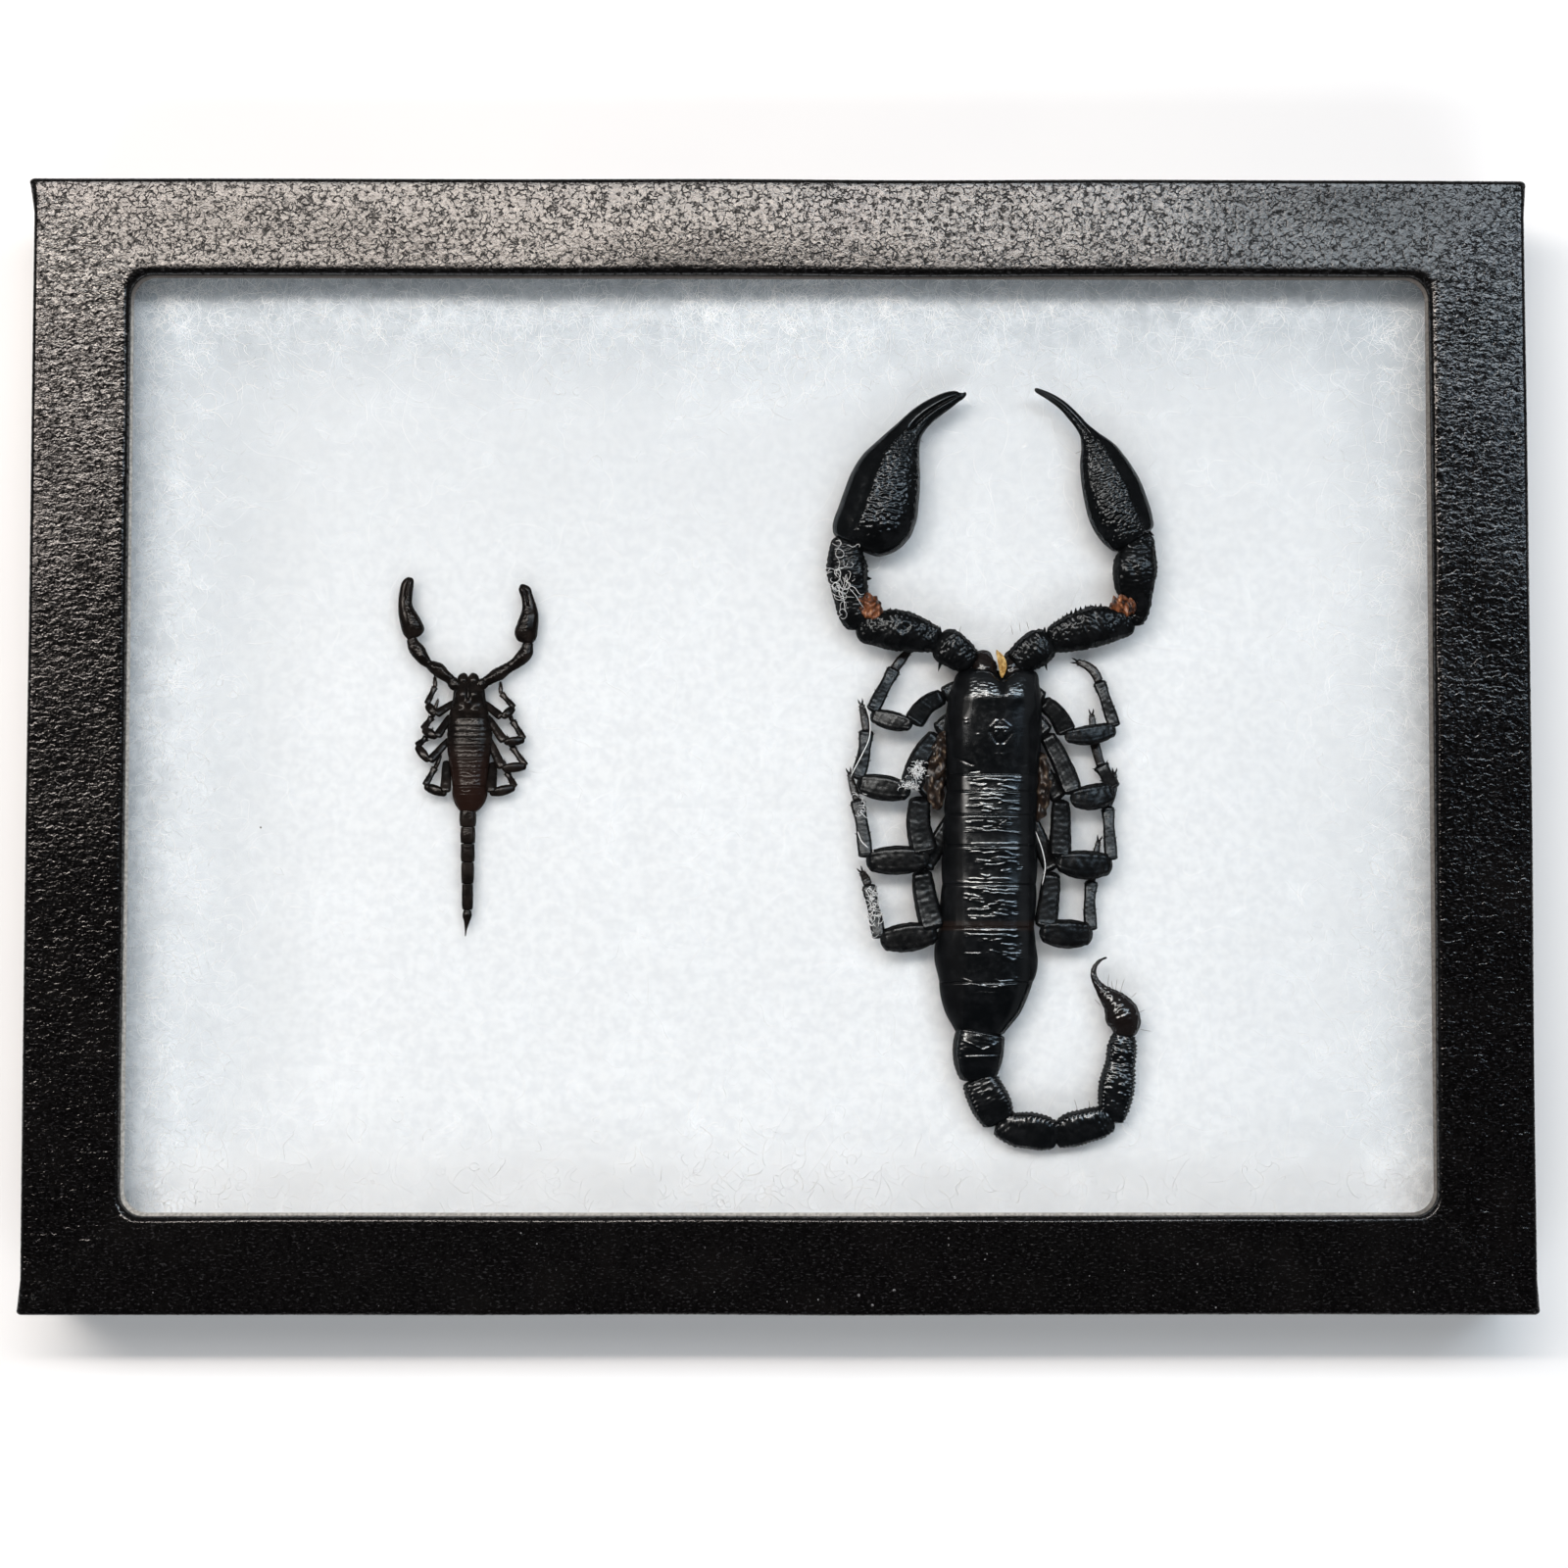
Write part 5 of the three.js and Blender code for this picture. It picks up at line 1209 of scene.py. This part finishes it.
smallJaws = [[(-47.65, 8.6, 1.6, 0.85, 0.7), (-47.7, 10.2, 1.6, 0.85, 0.7), (-47.5, 11.0, 1.4, 0.45, 0.4)],
             [(-46.25, 8.6, 1.6, 0.85, 0.7), (-46.2, 10.2, 1.6, 0.85, 0.7), (-46.4, 11.0, 1.4, 0.45, 0.4)]]


# carapace of the small scorpion: two lobes, the eye mound and the furrow before it
def smallCarapace(x, y):
    x = x + 46.85
    lobes = sum(0.26 * np.exp(-((x - side * 1.1) / 0.8) ** 2 - ((y - 7.6) / 0.9) ** 2) for side in (-1, 1))
    rear = sum(0.22 * np.exp(-((x - side * 1.3) / 0.7) ** 2 - ((y - 5.2) / 0.5) ** 2) for side in (-1, 1))
    mound = 0.22 * np.exp(-(x / 0.45) ** 2 - ((y - 6.3) / 0.55) ** 2)
    return (lobes + rear + mound - 0.24 * stroke(x, y, ((0, 7.2), (0, 9.5)), 0.25)) * rise(y, 4.0, 4.5)


def makeSmallBody():
    rings, x, y = backRings(smallBack, smallCarapace, 9)
    parts = [ringSkin(rings, 0, {"grain": 0.5, "warm": 0.75 * rise(-y, -2.0, 5.0)})]
    for rows in smallJaws:
        parts.append(bead(lifted(rows), 24, 20, (0.2, 0.5), 0, {"grain": 0.4}))
    return putMesh("small_body_shell", parts, [smallShell], ["small_body"])


def makeSmallPincer(side, seed):
    spec = smallPincers[side]
    parts = [handSkin(spec, smallHands, seed)]
    for joint in spec["arm"]:
        rows = [(x, y, base + smallArms["high"], half, smallArms["flatness"] * half) for x, y, half in joint]
        parts.append(bead(rows, 50, 36, (0.35, 0.35), 0, {"grain": 0.5}, armRelief(smallArms, 0.9, seed), 0.92))
    return putMesh(f"small_pincer_{side}_shell", parts, [smallShell], [f"small_pincer_{side}"])


makeSmallBody()
makeSmallPincer("left", 41)
makeSmallPincer("right", 42)
for number, (name, joints) in enumerate(smallLegs.items()):
    putMesh(f"small_leg_{name}_shell", legSkins(joints, smallStride, 90 + 5 * number), [smallShell],
            [f"small_leg_{name}"])
putMesh("small_tail_shell", tailSkins(smallTail, 120), [smallShell], ["small_tail"])
print("small scorpion")

# bristles: straight thin hairs from root to tip in plan
bristles = [((49, -36.7), (49.2, -34.2)), ((49.9, -36.9), (49.6, -35.2)), ((50.8, -37.3), (51.5, -34.9)), ((50.2, -37.0), (50.5, -34.9)),
            ((52.5, -37.8), (53.2, -37.0)), ((53.8, -42.5), (55.5, -42.8)), ((48, -39), (47, -38)), ((53.6, -40.0), (54.6, -39.6)),
            ((35.0, 16.6), (34.6, 18.0)), ((36.2, 17.0), (36.0, 18.4)), ((37.5, 17.4), (37.2, 18.6)), ((27.0, 16.8), (27.3, 17.9)),
            ((44.5, -54.8), (43.9, -52.9)), ((46.4, -54.6), (46.1, -53.0)), ((20.3, 46.8), (21.6, 45.6)), ((45.6, 44.5), (44.6, 44.0))]


def makeBristles():
    ends = np.asarray(bristles)
    share = np.linspace(0, 1, 7)[:, None]
    plan = ends[:, None, 0] + (ends[:, None, 1] - ends[:, None, 0]) * share
    plan[..., 0] += 0.12 * np.sin(2.2 * share[:, 0]) * rng.uniform(-1, 1, (len(ends), 1))
    z = base + 3.6 + rng.uniform(-0.3, 0.5, (len(ends), 1)) + 0.5 * share[:, 0]
    lines = np.concatenate([plan, z[..., None]], -1)
    putMesh("large_bristles", [fibreTubes(lines, np.full(len(ends), 0.035))], [brownHair], ())


# white fibres of the batting that lie on the large scorpion: single strands, and tangles (x, y, spread x,
# spread y, count, height, reach of a fibre)
strays = {
    "strands": [[(12.8, 6.5, 3.4), (13.5, 3.5, 4.2), (13.4, 1.0, 4.6), (12.3, -1.5, 4.9), (11.0, -4.0, 5.2), (10.5, -5.0, 5.2)],
                [(38.2, -13.0, 5.4), (39.3, -16.0, 4.7), (39.7, -18.0, 4.2), (39.2, -21.0, 4.6)],
                [(11.6, -13.0, 5.0), (12.2, -14.5, 5.2), (13.2, -15.5, 5.3)]],
    "speck": (-78.3, -12.3, 0.14),
    "tangles": [(20.5, -4.0, 0.8, 1.4, 120, 5.6, 1.1), (19.3, -6.2, 1.0, 0.6, 50, 6.0, 1.1), (8.9, 25.0, 1.5, 5.0, 40, 6.1, 4.4),
                (14.0, -24.5, 0.6, 4.4, 60, 4.4, 2.2), (12.4, -9.5, 0.5, 2.2, 14, 4.6, 2.2)],
}


def makeStrays():
    parts = []
    for rows in strays["strands"]:
        line, _ = smoothRows(rows, 24)
        line[:, 2] += base
        parts.append(fibreTubes(line[None], np.array([0.085])))
    share = np.linspace(0, 1, 13)
    for x, y, spreadX, spreadY, count, high, reach in strays["tangles"]:
        start = np.stack([rng.normal(x, 0.6 * spreadX, count), rng.normal(y, 0.5 * spreadY, count)], 1)
        angle = rng.uniform(0, 2 * math.pi, (count, 1)) + rng.normal(0, 3.0, (count, 1)) * share + rng.normal(0, 0.6, (count, 1)) * np.sin(7 * share)
        step = reach * rng.uniform(0.4, 1.0, (count, 1)) / 12
        plan = start[:, None] + np.cumsum(np.stack([np.cos(angle), np.sin(angle)], -1) * step[..., None], 1)
        z = base + high + rng.uniform(-0.5, 0.15, (count, 1)) + 0.2 * np.sin(math.pi * share)
        parts.append(fibreTubes(np.concatenate([plan, z[..., None]], -1), rng.uniform(0.030, 0.048, count)))
    x, y, half = strays["speck"]
    lie = base + battingHeight(np.array(x), np.array(y))
    parts.append(bead([(x - half, y, lie, half, half), (x, y, lie, half, half), (x + half, y, lie, half, half)],
                      8, 8, (half, half), 1))
    putMesh("stray_fibres", parts, [strandPaint.material, brownHair], ())


makeBristles()
makeStrays()
print("hairs and stray fibres")
